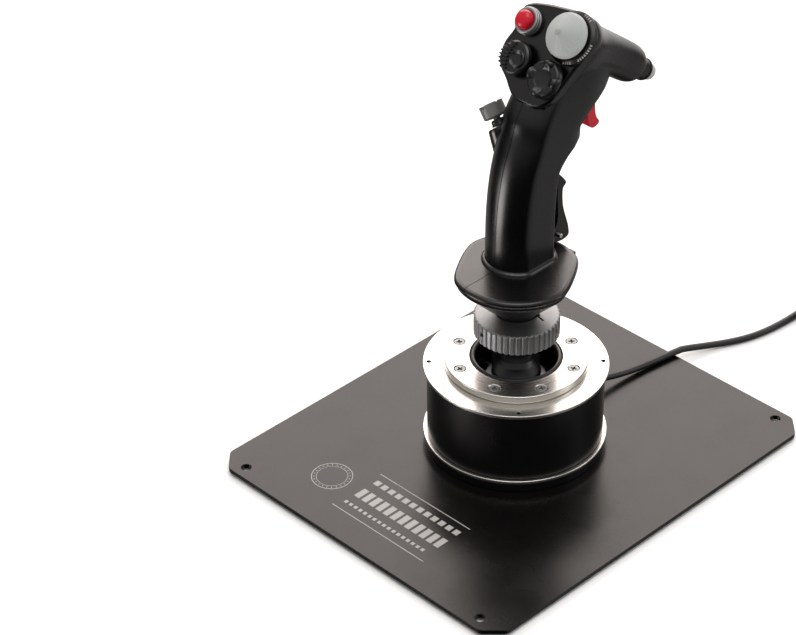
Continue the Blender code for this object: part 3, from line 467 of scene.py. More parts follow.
def catmull(points, per_span, closed=False):
    """A smooth curve through points, every span cut into equal steps."""
    points = [Vector(p) for p in points]
    if closed:
        ends = [points[-1]] + points + points[:2]
    else:
        ends = [2 * points[0] - points[1]] + points + [2 * points[-1] - points[-2]]
    out = []
    for k in range(1, len(ends) - 2):
        p0, p1, p2, p3 = ends[k - 1:k + 3]
        for i in range(per_span):
            t = i / per_span
            out.append(0.5 * (2 * p1 + (p2 - p0) * t + (2 * p0 - 5 * p1 + 4 * p2 - p3) * t ** 2
                              + (3 * p1 - p0 - 3 * p2 + p3) * t ** 3))
    return out if closed else out + [points[-1]]


def between(table, z):
    """Read a smooth curve through the rows (z, value, ...) of a table at a height."""
    rows = sorted(table)
    if z <= rows[0][0]:
        return rows[0][1:]
    if z >= rows[-1][0]:
        return rows[-1][1:]
    k = max(i for i in range(len(rows) - 1) if rows[i][0] <= z)
    r0, r1, r2, r3 = (rows[max(k - 1, 0)], rows[k], rows[k + 1], rows[min(k + 2, len(rows) - 1)])
    span = r2[0] - r1[0]
    t = (z - r1[0]) / span
    values = []
    for c in range(1, len(r1)):
        slope1 = (r2[c] - r0[c]) / (r2[0] - r0[0]) * span
        slope2 = (r3[c] - r1[c]) / (r3[0] - r1[0]) * span
        values.append((2 * t**3 - 3 * t**2 + 1) * r1[c] + (t**3 - 2 * t**2 + t) * slope1
                      + (3 * t**2 - 2 * t**3) * r2[c] + (t**3 - t**2) * slope2)
    return values


# ---- cable --------------------------------------------------------------------------
CABLE_R = 2.25
RELIEF_AT, RELIEF_AXIS = (3.0, 56.0, 22.6), (0.05, 0.906, -0.42)
RELIEF_LENGTH = 18.0
CABLE_ROUTE = [
    (5.1, 82, 10.9), (7.7, 94, 7.5), (10.2, 112, 7.4), (12.8, 129, 7.5), (14.6, 142, 7.1),
    (16.0, 153, 3.9), (18.3, 165, 2.35), (24.6, 174.5, 2.3), (31.5, 183.5, 2.3),
    (36.4, 194, 2.3), (39.2, 207, 2.3), (40.6, 222, 2.3), (40.9, 236, 2.3), (41.0, 249.2, 2.3),
    (39.6, 257.5, 2.3), (37.4, 265, 2.3),
]
PLATE_EDGE_Y = 147.5            # the lead rests on the plate up to here, then on the table
COIL_TURNS = 9.5
SLOT_DEGREES, SHIFT_DEGREES = 290.0, 70.0


def coil_points(centre):
    """Turns that lie beside and on each other: each slot is held for most of a turn, and
    the cable moves to the next slot just before it would meet itself."""
    d = 2 * CABLE_R + 0.05
    slots = []
    for layer in range(4):
        columns = (1, 0, -1) if layer % 2 == 0 else (-1, 0, 1)
        slots += [(25.0 + d * column, CABLE_R + 0.05 + d * layer) for column in columns]
    points = []
    steps = int(COIL_TURNS * 36)
    for i in range(steps + 1):
        wound = 360 * COIL_TURNS * i / steps
        k = int(wound // SLOT_DEGREES)
        t = max(0.0, (wound - k * SLOT_DEGREES - SLOT_DEGREES + SHIFT_DEGREES) / SHIFT_DEGREES)
        t = t * t * (3 - 2 * t)
        here, there = slots[min(k, 11)], slots[min(k + 1, 11)]
        radius = here[0] + (there[0] - here[0]) * t
        height = here[1] + (there[1] - here[1]) * t
        a = math.radians(180 - wound)
        points.append(Vector((centre[0] + radius * math.cos(a),
                              centre[1] + radius * math.sin(a), height)))
    return points


def relaxed(points, passes):
    """Even out a lead's bends, keeping its ends and its height over the plate's edge."""
    for _ in range(passes):
        middle_points = [(a + 2 * b + c) / 4 for a, b, c in zip(points, points[1:], points[2:])]
        points = points[:2] + middle_points[1:-1] + points[-2:]
        for p in points[2:-2]:
            past, near = p.y - PLATE_EDGE_Y, CABLE_R + 0.1
            p.z = max(p.z, CABLE_R + 0.05 if past >= 0 else PLATE_TOP + near)
            if past >= 0 and math.hypot(past, p.z - PLATE_TOP) < near:
                p.z = PLATE_TOP + math.sqrt(max(0, near ** 2 - past ** 2))
    return points


def make_cable():
    axis = Vector(RELIEF_AXIS).normalized()
    start = Vector(RELIEF_AT) + axis * (RELIEF_LENGTH + CAD_GAP)
    plug_low, plug_high = box_here("usb_plug_body")
    centre, size = (plug_high + plug_low) / 2, (plug_high - plug_low) / 2
    plug_x, plug_y = centre.x, plug_high.y
    free = relaxed(catmull([start] + CABLE_ROUTE, 4), 60)
    wound = coil_points(middle("cable_coil") - STICK_AXIS)
    last = wound[-1]
    away = catmull([last, (last.x - 0.1, last.y - 7, last.z), (last.x - 0.6, last.y - 15, 15.0),
                    (plug_x + 2.4, plug_y + 17, 10.6), (plug_x + 0.9, plug_y + 9, 6.0),
                    (plug_x + 0.1, plug_y + 3.5, 4.4), (plug_x, plug_y + CAD_GAP, 4.3)], 3)
    route = free + wound + away[1:]
    curve = bpy.data.curves.new("lead", "CURVE")
    curve.dimensions = "3D"
    spline = curve.splines.new("POLY")
    spline.points.add(len(route) - 1)
    for point, place in zip(spline.points, route):
        point.co = (*row(place), 1)
    curve.bevel_depth = CABLE_R * MM
    curve.bevel_resolution = 5
    curve.use_fill_caps = True
    lead = placed("lead", curve)
    put(lead, "root", "rubber", "cable", "cable_coil")

    plug = rounded(box("plug_body", plug_low, plug_high), 2.2, 4)
    ribs = [box("rib", (centre.x - size.x * f, centre.y + y, centre.z + size.z - 0.15),
                (centre.x + size.x * f, centre.y + y + 0.9, centre.z + size.z + 0.25))
            for y, f in ((-6, 0.5), (-3.6, 0.6), (-1.2, 0.66), (1.2, 0.66), (3.6, 0.6))]
    plug = merged("plug_body", [plug] + ribs)
    put(plug, "root", "rubber", "usb_plug_body")
    low, high = box_here("usb_plug_shell")
    shell = box("plug_shell", low, high)
    carve(shell, box("mouth", (low.x + 0.4, low.y - 2, low.z + 0.4),
                     (high.x - 0.4, low.y + 8, high.z - 0.4)))
    for x in (low.x + 2.4, high.x - 4.6):
        carve(shell, box("latch", (x, high.y - 7, high.z - 1), (x + 2.2, high.y - 4.6,
                                                               high.z + 1)))
    put(shell, "root", "bright_metal", "usb_plug_shell")

    tip, foot = RELIEF_LENGTH, 6.2
    profile = [(0, tip), (2.9, tip), (3.0, tip - 0.7)]
    for k in range(5):
        high = tip - 1.4 - k * 2.1
        radius = 3.05 + 0.22 * k
        profile += [(radius, high), (radius - 0.75, high - 0.1), (radius - 0.75, high - 0.9),
                    (radius + 0.1, high - 1.0)]
    profile += [(4.3, foot), (5.6, 5.4), (5.6, 4.0), (4.4, 4.0), (4.4, -6.4), (6.0, -6.4),
                (6.0, -8.0), (0, -8.0)]
    relief = lathe("relief", profile, RELIEF_AT, toward(axis), 48, soft=0.15)
    put(relief, "root", "rubber", "strain_relief")
    tuple(row(start))


# ---- base ---------------------------------------------------------------------------
BASE_R = 59.0
SCREWS, SCREW_CIRCLE_R = 8, 38.6
RING_HOLE_CIRCLE_R = 55.2


def make_plate():
    low, high = box_here("base_plate")
    half_w, half_d = (high.x - low.x) / 2, (high.y - low.y) / 2
    chamfer, r = 12.0, 6.0
    k = r * math.tan(math.radians(22.5))
    outline = []
    for turn in range(4):
        w, d = (half_w, half_d) if turn % 2 == 0 else (half_d, half_w)
        corner = (arc((w - r, d - chamfer - k), r, 0, 45, 8)
                  + arc((w - chamfer - k, d - r), r, 45, 90, 8))
        for x, y in corner:
            for _ in range(turn):
                x, y = -y, x
            outline.append((x - AXIS_X, y - AXIS_Y))
    plate = lofted("plate", [[(x, y, z) for x, y in outline] for z in (low.z, PLATE_TOP)])
    for sx in (-1, 1):
        for sy in (-1, 1):
            at = (sx * (half_w - 19.5) - AXIS_X, sy * (half_d - 8.3) - AXIS_Y, 0)
            carve(plate, drill(3.4, 12, -4, at))
    rounded(plate, 0.45, 3)
    put(plate, "root", "black_plate", "base_plate")
    make_plate_marks()


def make_plate_marks():
    """Plain printed marks: two rules, rows of bars between them, and a ring with ticks."""
    base, top = PLATE_TOP - 0.05, PLATE_TOP + 0.04
    marks = [box("mark", (-33, -89.1, base), (46, -88.4, top)),
             box("mark", (-33, -131.2, base), (47, -130.5, top))]
    for y, height, pitch, count, width in ((-99, 4.6, 6.3, 12, 4.3), (-115.5, 9.5, 6.3, 12, 4.4),
                                           (-124.5, 2.6, 4.2, 17, 2.4)):
        for k in range(count):
            x = -29.5 + k * pitch
            marks.append(box("mark", (x, y, base), (x + width, y + height, top)))
    centre = (-53.4, -111.7, 0)
    for outer, inner in ((13.4, 12.8), (10.2, 9.8)):
        marks.append(lathe("mark", [(outer, top), (outer, base), (inner, base), (inner, top)],
                           centre, closed=True, soft=0))
    for k in range(24):
        turn = spun(toward((0, 0, 1)), 15 * k)
        marks.append(box("mark", (10.9, -0.3, base), (12.1, 0.3, top), turn, centre))
    put(merged("plate_marks", marks), "root", "mark_white")


def make_can():
    flange_top = PLATE_TOP + 6.4
    flange = lathe("lower_flange", [(0, flange_top), (57.6, flange_top), (58.0, flange_top - 0.8),
                                    (58.0, PLATE_TOP + GAP), (0, PLATE_TOP + GAP)], steps=160,
                   soft=0.5)
    put(flange, "root", "black_metal", "bottom_flange")
    low_ring = flange_top + CAD_GAP
    ring = lathe("foot_ring", [(0, low_ring + 2), (BASE_R, low_ring + 2),
                               (BASE_R, low_ring), (0, low_ring)], steps=160, soft=0.6)
    put(ring, "root", "bright_metal", "lower_ring")
    low, high, wall = low_ring + 2 + CAD_GAP, RING_BOTTOM - GAP, 3.0
    outer = 56.5
    inner = outer - wall
    can = lathe("can", [(0, 20.2), (9.5, 20.2), (10.5, low + wall), (inner, low + wall),
                        (inner, high), (outer, high), (outer, low), (0, low)], steps=160,
                soft=0.5)
    carve(can, drill(4.8, 8, -8, RELIEF_AT, toward(RELIEF_AXIS), 32))
    put(can, "root", "black_metal", "base_housing")


def make_cover():
    ring = lathe("bright_ring", [(30, RING_TOP), (BASE_R, RING_TOP), (BASE_R, RING_BOTTOM),
                                 (30, RING_BOTTOM)], steps=160, closed=True, soft=0.45)
    holes = [on_circle(RING_HOLE_CIRCLE_R, 45 + 90 * k, RING_TOP) for k in range(4)]
    carve(ring, *[drill(1.5, 1, -4, at, steps=24) for at in holes])
    put(ring, "root", "bright_metal", "top_ring")
    # near-black discs part way down the ring's through holes: painted shade inside the holes, not
    # a real part
    shade_discs = [drill(1.45, -0.9, -2.1, at, steps=20) for at in holes]
    put(merged("ring_hole_painted_shade", shade_discs), "root", "hollow")

    radius, bezel_r = 45.8, 29.3
    cover = lathe("cover_disc", [(bezel_r + GAP, COVER_TOP), (radius, COVER_TOP),
                                 (radius, RING_TOP + GAP), (bezel_r + GAP, RING_TOP + GAP)],
                  steps=160, closed=True, soft=0.8)
    spots = [on_circle(SCREW_CIRCLE_R, 22.5 + 45 * k, COVER_TOP) for k in range(SCREWS)]
    carve(cover, *[lathe("seat", [(0, 0.5), (4.1, 0.5), (4.1, -0.1), (1.9, -2.4), (1.9, -8),
                                  (0, -8)], at, steps=40, soft=0) for at in spots])
    put(cover, "root", "bright_metal", "gimbal_cover")
    for k, at in enumerate(spots):
        make_cross_screw(f"machine_screw_{k + 1}", at, toward((0, 0, 1)), 31 * k + 18,
                         (3.4, 1.5, -0.25, -4.7), ("root", "grey_metal", f"cover_screw_{k + 1}"))
    bezel = lathe("bezel", [(bezel_r, COVER_TOP - 1.2), (bezel_r, RING_TOP - 0.4),
                            (25.8, RING_TOP - 0.4), (25.8, COVER_TOP - 1.4),
                            (26.6, COVER_TOP + 0.3), (28.0, COVER_TOP + 0.8)],
                  steps=128, closed=True, soft=0.9)
    put(bezel, "root", "black_plastic", "boot_bezel")


def make_cross_screw(name, at, turn, degrees, sizes, where):
    """A countersunk screw with a cross recess; sizes are head, shank, top and end."""
    head_r, shank_r, top, end = sizes
    screw = lathe(name, [(0, top), (head_r, top), (head_r, top - 0.3), (shank_r, top - 2.1),
                         (shank_r, end), (0, end)], at, turn, 40, soft=0.12)
    spin = spun(turn, degrees)
    long, wide = head_r * 0.58, head_r * 0.17
    for a, b in ((long, wide), (wide, long)):
        carve(screw, box("cross", (-a, -b, top - 1.3), (a, b, top + 1), spin, at))
    put(screw, *where)


# ---- stick mechanism ----------------------------------------------------------------
PIVOT_Z = 50.0
NUT_R, COLLAR_R = 27.3, 14.0


def make_bell():
    """The black cover over the gimbal: a neck that flares to the front and to the back."""
    def wave(a, radius, height):
        lobe = (0.5 - 0.5 * math.cos(2 * (a - math.pi / 4))) ** 0.7
        spread = min(1.0, max(0.0, (radius - 11.5) / 10.5))
        return radius - 7.0 * (1 - lobe) * spread, height - 1.5 * (1 - lobe) * spread
    bell = lathe("bell", [(6.2, 36.5), (10.4, 36.5), (11, 35.9), (11.1, 27), (11.6, 24),
                          (12.8, 21), (15.0, 18.4), (18.2, 16.2), (21, 14.6), (22.2, 13.2),
                          (22.2, 11.7), (19.5, 12.4), (17, 13.6), (13, 16.4), (10, 20),
                          (6.2, 20)],
                 (0, 0, PIVOT_Z), steps=128, closed=True, soft=0.5, wave=wave)
    put(bell, "stick", "black_plastic", "pivot_cover")


def make_nut():
    """Fluted nut with a smooth cone on top, a raised seat, and a small key slot."""
    flutes, depth = 44, 0.85

    def wave(a, radius, height):
        if radius < NUT_R - 1.6 or height > 101.4:
            return radius, height
        groove = max(0.0, math.cos(flutes * a) - 0.15) / 0.85
        return radius - depth * math.sqrt(groove), height
    bottom = 87.7
    nut = lathe("knob_nut",
                [(COLLAR_R + 1.2, NUT_TOP), (COLLAR_R + 2.6, NUT_TOP - 0.4), (NUT_R - 1.3, 101.6),
                 (NUT_R - 0.3, 101.1), (NUT_R, 100.4), (NUT_R, 94), (NUT_R, bottom + 0.6),
                 (NUT_R - 0.7, bottom), (12.5, bottom), (12.5, 89.7), (20.4, 89.7), (20.4, 95.2),
                 (COLLAR_R + GAP * 2, 95.2), (COLLAR_R + GAP * 2, NUT_TOP)],
                steps=flutes * 12, closed=True, soft=0.35, wave=wave, sharp=50)
    carve(nut, box("slot_a", (8.6, 4.3, 101), (14.8, 5.7, 106)),
          box("slot_b", (13.4, 3.0, 101.2), (19.2, 4.4, 106)), sharp=50)
    for degrees in (-102.0, 20.1):
        at = on_circle(NUT_R, degrees, 95.5)
        carve(nut, drill(1.6, 3, -3, at, toward(on_circle(1, degrees, 0)), 24), sharp=50)
    put(nut, "collar_nut", "grey_metal", "collar_nut")
    collar = lathe("neck_collar", [(COLLAR_R, 128), (COLLAR_R, 112), (COLLAR_R, 99),
                                   (COLLAR_R - 0.7, 98.2), (9.6, 98.2), (9.6, 128)],
                   steps=96, closed=True, soft=0.2)
    grooves = [lathe("groove", [(COLLAR_R + 2, z + 0.5), (COLLAR_R + 2, z - 0.5),
                                (COLLAR_R - 0.5, z - 0.1), (COLLAR_R - 0.5, z + 0.1)],
                     closed=True, soft=0) for z in (108.0, 109.6, 111.2)]
    carve(collar, *grooves)
    put(collar, "stick", "black_metal", "grip_collar")


# ---- grip ---------------------------------------------------------------------------
MID_X = -5.0
FACE_Y, FACE_Z = 32.5, 288.1
SLOPE = math.radians(36.0)
ACROSS = Vector((1, 0, 0))
UP_FACE = Vector((0, math.sin(SLOPE), math.cos(SLOPE)))
DEEP = Vector((0, math.cos(SLOPE), -math.sin(SLOPE)))
FACE_CENTRE = Vector((MID_X, FACE_Y, FACE_Z))
FACE_TURN = Matrix((ACROSS, UP_FACE, -DEEP)).transposed().to_quaternion()
NOSE_LENGTH = 103.0
WALL = 2.8
FLANGE_TOP = 138.0
REST_FLATS_TURN = math.radians(30)
COVER_EDGE_DEEP, COVER_EDGE_UP, FACE_LOW_UP = 8.0, 1.8, -46.0
HEAD_SCREW = (0.0, 0.0, 79.0)
TRIM_AT, LEFT_AT, LOWER_AT, FIRE_AT = (16.4, -0.3), (-13.0, -24.8), (13.0, -29.0), (-17.7, -1.9)
HAT_PIVOT_DEPTH = 8.0
HAT_STEM_FOOT = [(2.3, 1.6), (0, 1.6)]
SIDE_HAT_CENTRE = Vector((-33.0, 11.0, 230.0))
SIDE_HAT_AXIS = Vector((-0.66, 0.08, 0.75)).normalized()
SIDE_HAT_DROP = 15.0
SIDE_PIVOT = SIDE_HAT_CENTRE - SIDE_HAT_AXIS * SIDE_HAT_DROP
SIDE_TURN = toward(SIDE_HAT_AXIS)
TRIGGER_PIVOT, LEVER_PIVOT = (64.5, 234.0), (33.0, 146.0)
SPLIT = 0.13                    # half of the hairline between the grip's halves

# Column: height, rear, widest, front, half width of its oval, half width between its flats.
COLUMN = [
    (126, -15.6, 7.0, 28.0, 21.0, 17.8), (165, -15.2, 7.0, 28.0, 21.0, 17.8),
    (185, -13.6, 8.0, 29.0, 21.0, 17.8), (199, -11.2, 10.0, 31.8, 21.0, 17.8),
    (207, -9.2, 12.0, 41.5, 21.0, 17.8), (211, -8.0, 13.0, 50.0, 21.0, 17.9),
    (214, -7.0, 14.0, 53.0, 21.0, 18.0), (221, -4.4, 16.0, 53.0, 21.0, 18.0),
    (226, -2.4, 18.0, 58.0, 21.0, 18.0), (232, -0.4, 20.0, 68.0, 21.0, 18.0),
    (238, 1.4, 23.0, 78.0, 20.5, 17.8), (250, 9.0, 30.0, 82.0, 19.0, 17.0),
    (262, 20.0, 42.0, 72.0, 16.0, 15.0),
]
FACE_OUTLINE = [
    (31.3, 2.0), (28.5, 10.0), (22.0, 15.0), (10.0, 15.6), (-3.0, 14.0), (-14.0, 12.0),
    (-23.5, 9.0), (-28.0, 4.0), (-27.6, -8.7), (-30.0, -18.0), (-29.6, -25.0), (-26.3, -32.8),
    (-18.5, -38.5), (-8.8, -46.2), (2.0, -48.0), (12.0, -47.0), (18.9, -40.9), (22.5, -29.9),
    (26.4, -15.5), (30.2, -4.0),
]
FACE_MIDDLE_UP = -16.0
BARREL_R = 13.0
HEAD = [
    (0.0, 0.0, 0.945), (0.5, 0.0, 0.966), (1.4, 0.0, 0.987), (3.0, 0.0, 1.0), (9.0, 0.08, 1.0),
    (20.0, 0.40, 1.0), (34.0, 0.70, 1.0), (50.0, 0.90, 1.0), (66.0, 1.0, 1.0), (82.0, 1.0, 0.97),
    (88.0, 1.0, 0.92), (91.5, 1.0, 0.80), (94.0, 1.0, 0.57), (95.0, 1.0, 0.535),
    (NOSE_LENGTH, 1.0, 0.53),
]


def head_point(across, up, deep):
    return FACE_CENTRE + ACROSS * across + UP_FACE * up + DEEP * deep


def soft_least(a, b, blend):
    """The smaller of two values, with the change between them rounded."""
    h = max(blend - abs(a - b), 0) / blend
    return min(a, b) - h * h * blend / 4


def column_section(z, inset=0.0, count=128):
    """One horizontal section of the column, flat on both cheeks."""
    rear, widest, front, oval, flat = between(COLUMN, z)
    oval, flat, rear, front = oval - inset, flat - inset, rear + inset, front - inset
    points = []
    for k in range(count):
        a = 2 * math.pi * (k + 0.5) / count
        x = math.copysign(soft_least(abs(oval * math.cos(a)), flat, 1.6), math.cos(a))
        depth = (front - widest) if math.sin(a) > 0 else (widest - rear)
        points.append((MID_X + x, widest + depth * math.sin(a), z))
    return points


def face_radii(count):
    """Distance from the face's middle to its smooth outline, at equal angles."""
    outline = [p - Vector((0, FACE_MIDDLE_UP)) for p in catmull(FACE_OUTLINE, 8, closed=True)]
    radii = []
    for k in range(count):
        a = 2 * math.pi * k / count
        d = Vector((math.cos(a), math.sin(a)))
        best = 0.0
        for p, q in zip(outline, outline[1:] + outline[:1]):
            e = q - p
            cross = d.x * e.y - d.y * e.x
            if abs(cross) > 1e-9:
                distance = (p.x * e.y - p.y * e.x) / cross
                along = (p.x * d.y - p.y * d.x) / cross
                if distance > 0 and -1e-6 <= along <= 1 + 1e-6:
                    best = max(best, distance)
        radii.append(best)
    return radii


HEAD_AROUND = 144


def head_section(deep, radii, inset=0.0):
    turn, size = between(HEAD, deep)
    middle_up = FACE_MIDDLE_UP * (1 - turn)
    points = []
    for k, face_r in enumerate(radii):
        a = 2 * math.pi * k / len(radii)
        radius = (face_r * (1 - turn) + BARREL_R * turn) * size - inset
        points.append(head_point(radius * math.cos(a), middle_up + radius * math.sin(a), deep))
    return points


def face_box(name, low, high):
    """A box in the head's frame: across, up, and outward from the face."""
    return box(name, low, high, FACE_TURN, FACE_CENTRE)


def rod(radius, half, at):
    """A cylinder across the stick."""
    return drill(radius, half, -half, at, toward(ACROSS), 24)


def column_with_foot():
    """The column, with a rounded bead where it meets the hand rest."""
    sections = [column_section(126)]
    for height, spread in ((-1.0, 2.3), (0.5, 2.25), (1.2, 1.95), (1.7, 1.4), (2.0, 0.7),
                           (2.2, 0.15), (2.6, 0.0)):
        sections.append(column_section(FLANGE_TOP + height, -spread))
    sections += [column_section(142 + 3 * k) for k in range(41)]
    return lofted("column", sections)


def hand_rest():
    """A disc with two flats, turned a little from the stick's sides, and its cone below."""
    def flats(a, radius, height):
        if radius < 30:
            return radius, height
        side = max(abs(math.cos(a - REST_FLATS_TURN)), 0.05)
        return soft_least(radius + 1.0, (radius - 3.0) / side, 6), height
    return lathe("rest", [(0, FLANGE_TOP), (36.6, FLANGE_TOP), (38.8, FLANGE_TOP - 0.5),
                          (39.8, FLANGE_TOP - 1.7), (39.7, FLANGE_TOP - 3.2), (38.4, 133.9),
                          (38.0, 131.2), (36, 129.4), (19, 112), (0, 112)],
                 (1.6, -3.0, 0), steps=160, soft=0.6, wave=flats)


def side_pod():
    """The arm that carries the side hat, from the column's left side."""
    end = SIDE_HAT_CENTRE - SIDE_HAT_AXIS * 10.7
    rings = []
    for f in (0, 0.25, 0.5, 0.75, 0.9, 0.97, 1.0):
        centre = Vector((-14.0, 9.0, 199.0)).lerp(end, f)
        radius = 9.4 - 1.2 * f - (0.5 if f == 1.0 else 0)
        rings.append([centre + SIDE_TURN @ Vector(on_circle(radius, 7.5 * k, 0))
                      for k in range(48)])
    return lofted("pod", rings)


def make_grip():
    """Both halves of the grip and the thumb cover, cut from one outer form."""
    radii = face_radii(HEAD_AROUND)
    column, rest, pod = column_with_foot(), hand_rest(), side_pod()
    head_steps = [0, 0.25, 0.5, 0.9, 1.4, 2.1, 3] + [3 + 2 * k for k in range(1, 49)] + [101, 103]
    head = lofted("head", [head_section(d, radii) for d in head_steps])
    column_hollow = lofted("column_hollow", [column_section(128.3 + 5 * k, WALL)
                                             for k in range(27)])
    head_hollow = lofted("head_hollow", [head_section(WALL + 3 * k, radii, WALL)
                                         for k in range(21)])
    collar_bore = drill(COLLAR_R + 0.15, 128.4, 100, steps=96)
    bores = [
        drill(5.8, 120, 88, FACE_CENTRE, toward(DEEP)),
        lathe("screw_bore", [(0, 16), (2.9, 16), (2.9, 8.1), (1.7, 8.1), (1.7, -6.6), (0, -6.6)],
              head_point(*HEAD_SCREW), toward(UP_FACE), 32, soft=0),
    ]
    pod_bore = drill(5.4, 12, -7, SIDE_PIVOT, SIDE_TURN, 40)
    shell_cutters = bores + [
        face_box("face_cut", (-60, FACE_LOW_UP - 0.05, -COVER_EDGE_DEEP - 0.05), (60, 40, 30)),
        face_box("nose_cut", (-60, COVER_EDGE_UP - 0.05, -150), (60, 40, 30)),
        box("trigger_slot", (MID_X - 5.2, 58.7, 199.6), (MID_X + 5.2, 80, 240.8)),
        rod(1.6, 8.8, (MID_X, *TRIGGER_PIVOT)),
        box("lever_recess", (MID_X - 6.9, 26.6, FLANGE_TOP + 0.5), (MID_X + 6.9, 60, 193)),
        rod(1.8, 11.3, (MID_X, *LEVER_PIVOT)),
    ]
    far = 400
    for name, node_name, side in (("left_shell", "grip_left", -1),
                                  ("right_shell", "grip_right", 1)):
        shell = placed(name, column.data.copy())
        carve(shell, head, rest, pod, operation="UNION", keep=True)
        carve(shell, column_hollow, head_hollow, collar_bore, pod_bore, keep=True)
        low_x, high_x = sorted((MID_X + side * SPLIT, -side * far))
        carve(shell, box("other_half", (low_x, -far, 0), (high_x, far, far)))
        carve(shell, *shell_cutters, keep=True)
        put(shell, "stick", "grip_black", node_name)

    cover = placed("thumb_cover", head.data.copy())
    region = face_box("face_region", (-60, FACE_LOW_UP, -COVER_EDGE_DEEP), (60, 40, 30))
    carve(region, face_box("nose_region", (-60, COVER_EDGE_UP, -150), (60, 40, 30)),
          operation="UNION")
    carve(cover, head_hollow, keep=True)
    carve(cover, region, operation="INTERSECT")
    for at, radius in ((TRIM_AT, 6.0), (LEFT_AT, 5.5), (LOWER_AT, 5.5), (FIRE_AT, 6.4)):
        carve(cover, drill(radius, 10, -12, head_point(*at, 0), FACE_TURN, 40))
    carve(cover, *bores, keep=True)
    put(cover, "stick", "grip_black", "head_cover")
    for tool in shell_cutters + [column, head, column_hollow, head_hollow, rest, collar_bore,
                                 pod, pod_bore]:
        bpy.data.objects.remove(tool)

    tab = rounded(box("rim_tab", (10.2, 31.0, 133.6), (15.4, 36.6, 137.6)), 0.8)
    put(tab, "stick", "grip_black")


def make_fittings():
    at = head_point(*TRIM_AT, 0)
    ring = lathe("trim_skirt", [(14.2, 3.4), (16.6, 2.2), (16.6, GAP), (7.5, GAP), (7.5, 3.4)],
                 at, FACE_TURN, 96, closed=True, soft=0.4)
    put(ring, "stick", "black_plastic", "trim_ring")
    marks = []
    for start, length, count in ((200, 44, 7), (279, 24, 4), (318, 50, 8), (60, 26, 4)):
        for k in range(count):
            spin = spun(FACE_TURN, start + length * k / count)
            marks.append(box("mark", (14.7, -0.42, 2.3), (16.2, 0.42, 3.05), spin, at))
    put(merged("trim_marks", marks), "stick", "mark_white")
    collar = lathe("red_button_collar",
                   [(7.6, 5.2), (8.2, 4.8), (8.2, 3.9), (8.7, 3.6), (8.7, 2.6), (8.2, 2.4),
                    (8.2, 1.6), (8.7, 1.3), (8.7, GAP), (6.35, GAP), (6.35, 5.2)],
                   head_point(*FIRE_AT, 0), FACE_TURN, 80, closed=True, soft=0.2)
    put(collar, "stick", "grey_metal", "fire_collar")
    nose = lathe("nose_ring", [(6.8, 1.8), (7.4, 1.2), (7.4, GAP), (5.9, GAP), (5.9, 1.8)],
                 head_point(0, 0, NOSE_LENGTH), toward(DEEP), 80, closed=True, soft=0.3)
    put(nose, "stick", "black_plastic", "nose_collar")
    make_cross_screw("nose_screw", head_point(*HEAD_SCREW), toward(UP_FACE), 20,
                     (2.5, 1.4, 10.3, -6), ("stick", "dark_steel", "head_screw"))
    pin = lathe("paddle_axle", [(0, 10.8), (1.5, 10.8), (1.5, -10.8), (0, -10.8)],
                (MID_X, *LEVER_PIVOT), toward(ACROSS), 32, soft=0.3)
    put(pin, "stick", "bright_metal", "lever_pin")


def lever(name, outline, width, pivot, hole_r, edge):
    """A lever cut from a side profile (y, z), with a hole for its pin."""
    piece = lofted(name, [[(x, py, pz) for py, pz in outline]
                          for x in (MID_X - width / 2, MID_X + width / 2)])
    carve(piece, rod(hole_r, width, (MID_X, *pivot)))
    return rounded(piece, edge, 3, 55)


def make_levers():
    hub = arc(TRIGGER_PIVOT, 3.4, 10, 190, 10)
    front = catmull([
        (61.1, 229), (60.6, 224), (61.1, 217), (62.9, 210.4), (65.2, 207.9), (68.2, 207.6),
        (71.4, 208.9), (71.6, 210.9), (69.3, 214.2), (67.9, 219), (67.6, 224), (68.0, 229)], 3)
    trigger = lever("trigger_blade", hub + front, 9.4, TRIGGER_PIVOT, 1.6, 1.1)
    put(trigger, "trigger", "red_plastic", "trigger")
    outline = catmull([
        (31.5, 141), (36, 138.9), (42, 138.9), (44.6, 140.4), (44.8, 143), (43.6, 149),
        (40.8, 157), (38.7, 164.5), (38.0, 172), (38.4, 177.2), (41.0, 180), (39, 183.5),
        (36.4, 186.6), (33.9, 189.1), (32.8, 188.3), (33.2, 180), (33.4, 170), (34.2, 160),
        (33, 152), (29.8, 149), (29.2, 145)], 3, closed=True)
    paddle = lever("lower_paddle", outline, 13.0, LEVER_PIVOT, 1.8, 1.2)
    put(paddle, "paddle_lever", "black_metal", "paddle_lever")


def make_buttons():
    red = lathe("red_button", [(0, 10.4), (2.0, 10.25), (3.8, 9.75), (5.0, 8.9), (5.8, 7.6),
                               (6.0, 6.4), (6.0, -2.4), (0, -2.4)],
                head_point(*FIRE_AT, 0), FACE_TURN, 72, soft=0.4)
    put(red, "fire_button", "red_plastic", "fire_button")
    pale = lathe("pale_button", [(0, 9.2), (2.6, 9.4), (4.4, 9.2), (5.3, 8.4), (5.5, 7),
                                 (5.5, -5), (0, -5)],
                 head_point(0, 0, NOSE_LENGTH), toward(DEEP), 72, soft=0.3)
    put(pale, "nose_button", "grey_plastic", "nose_button")


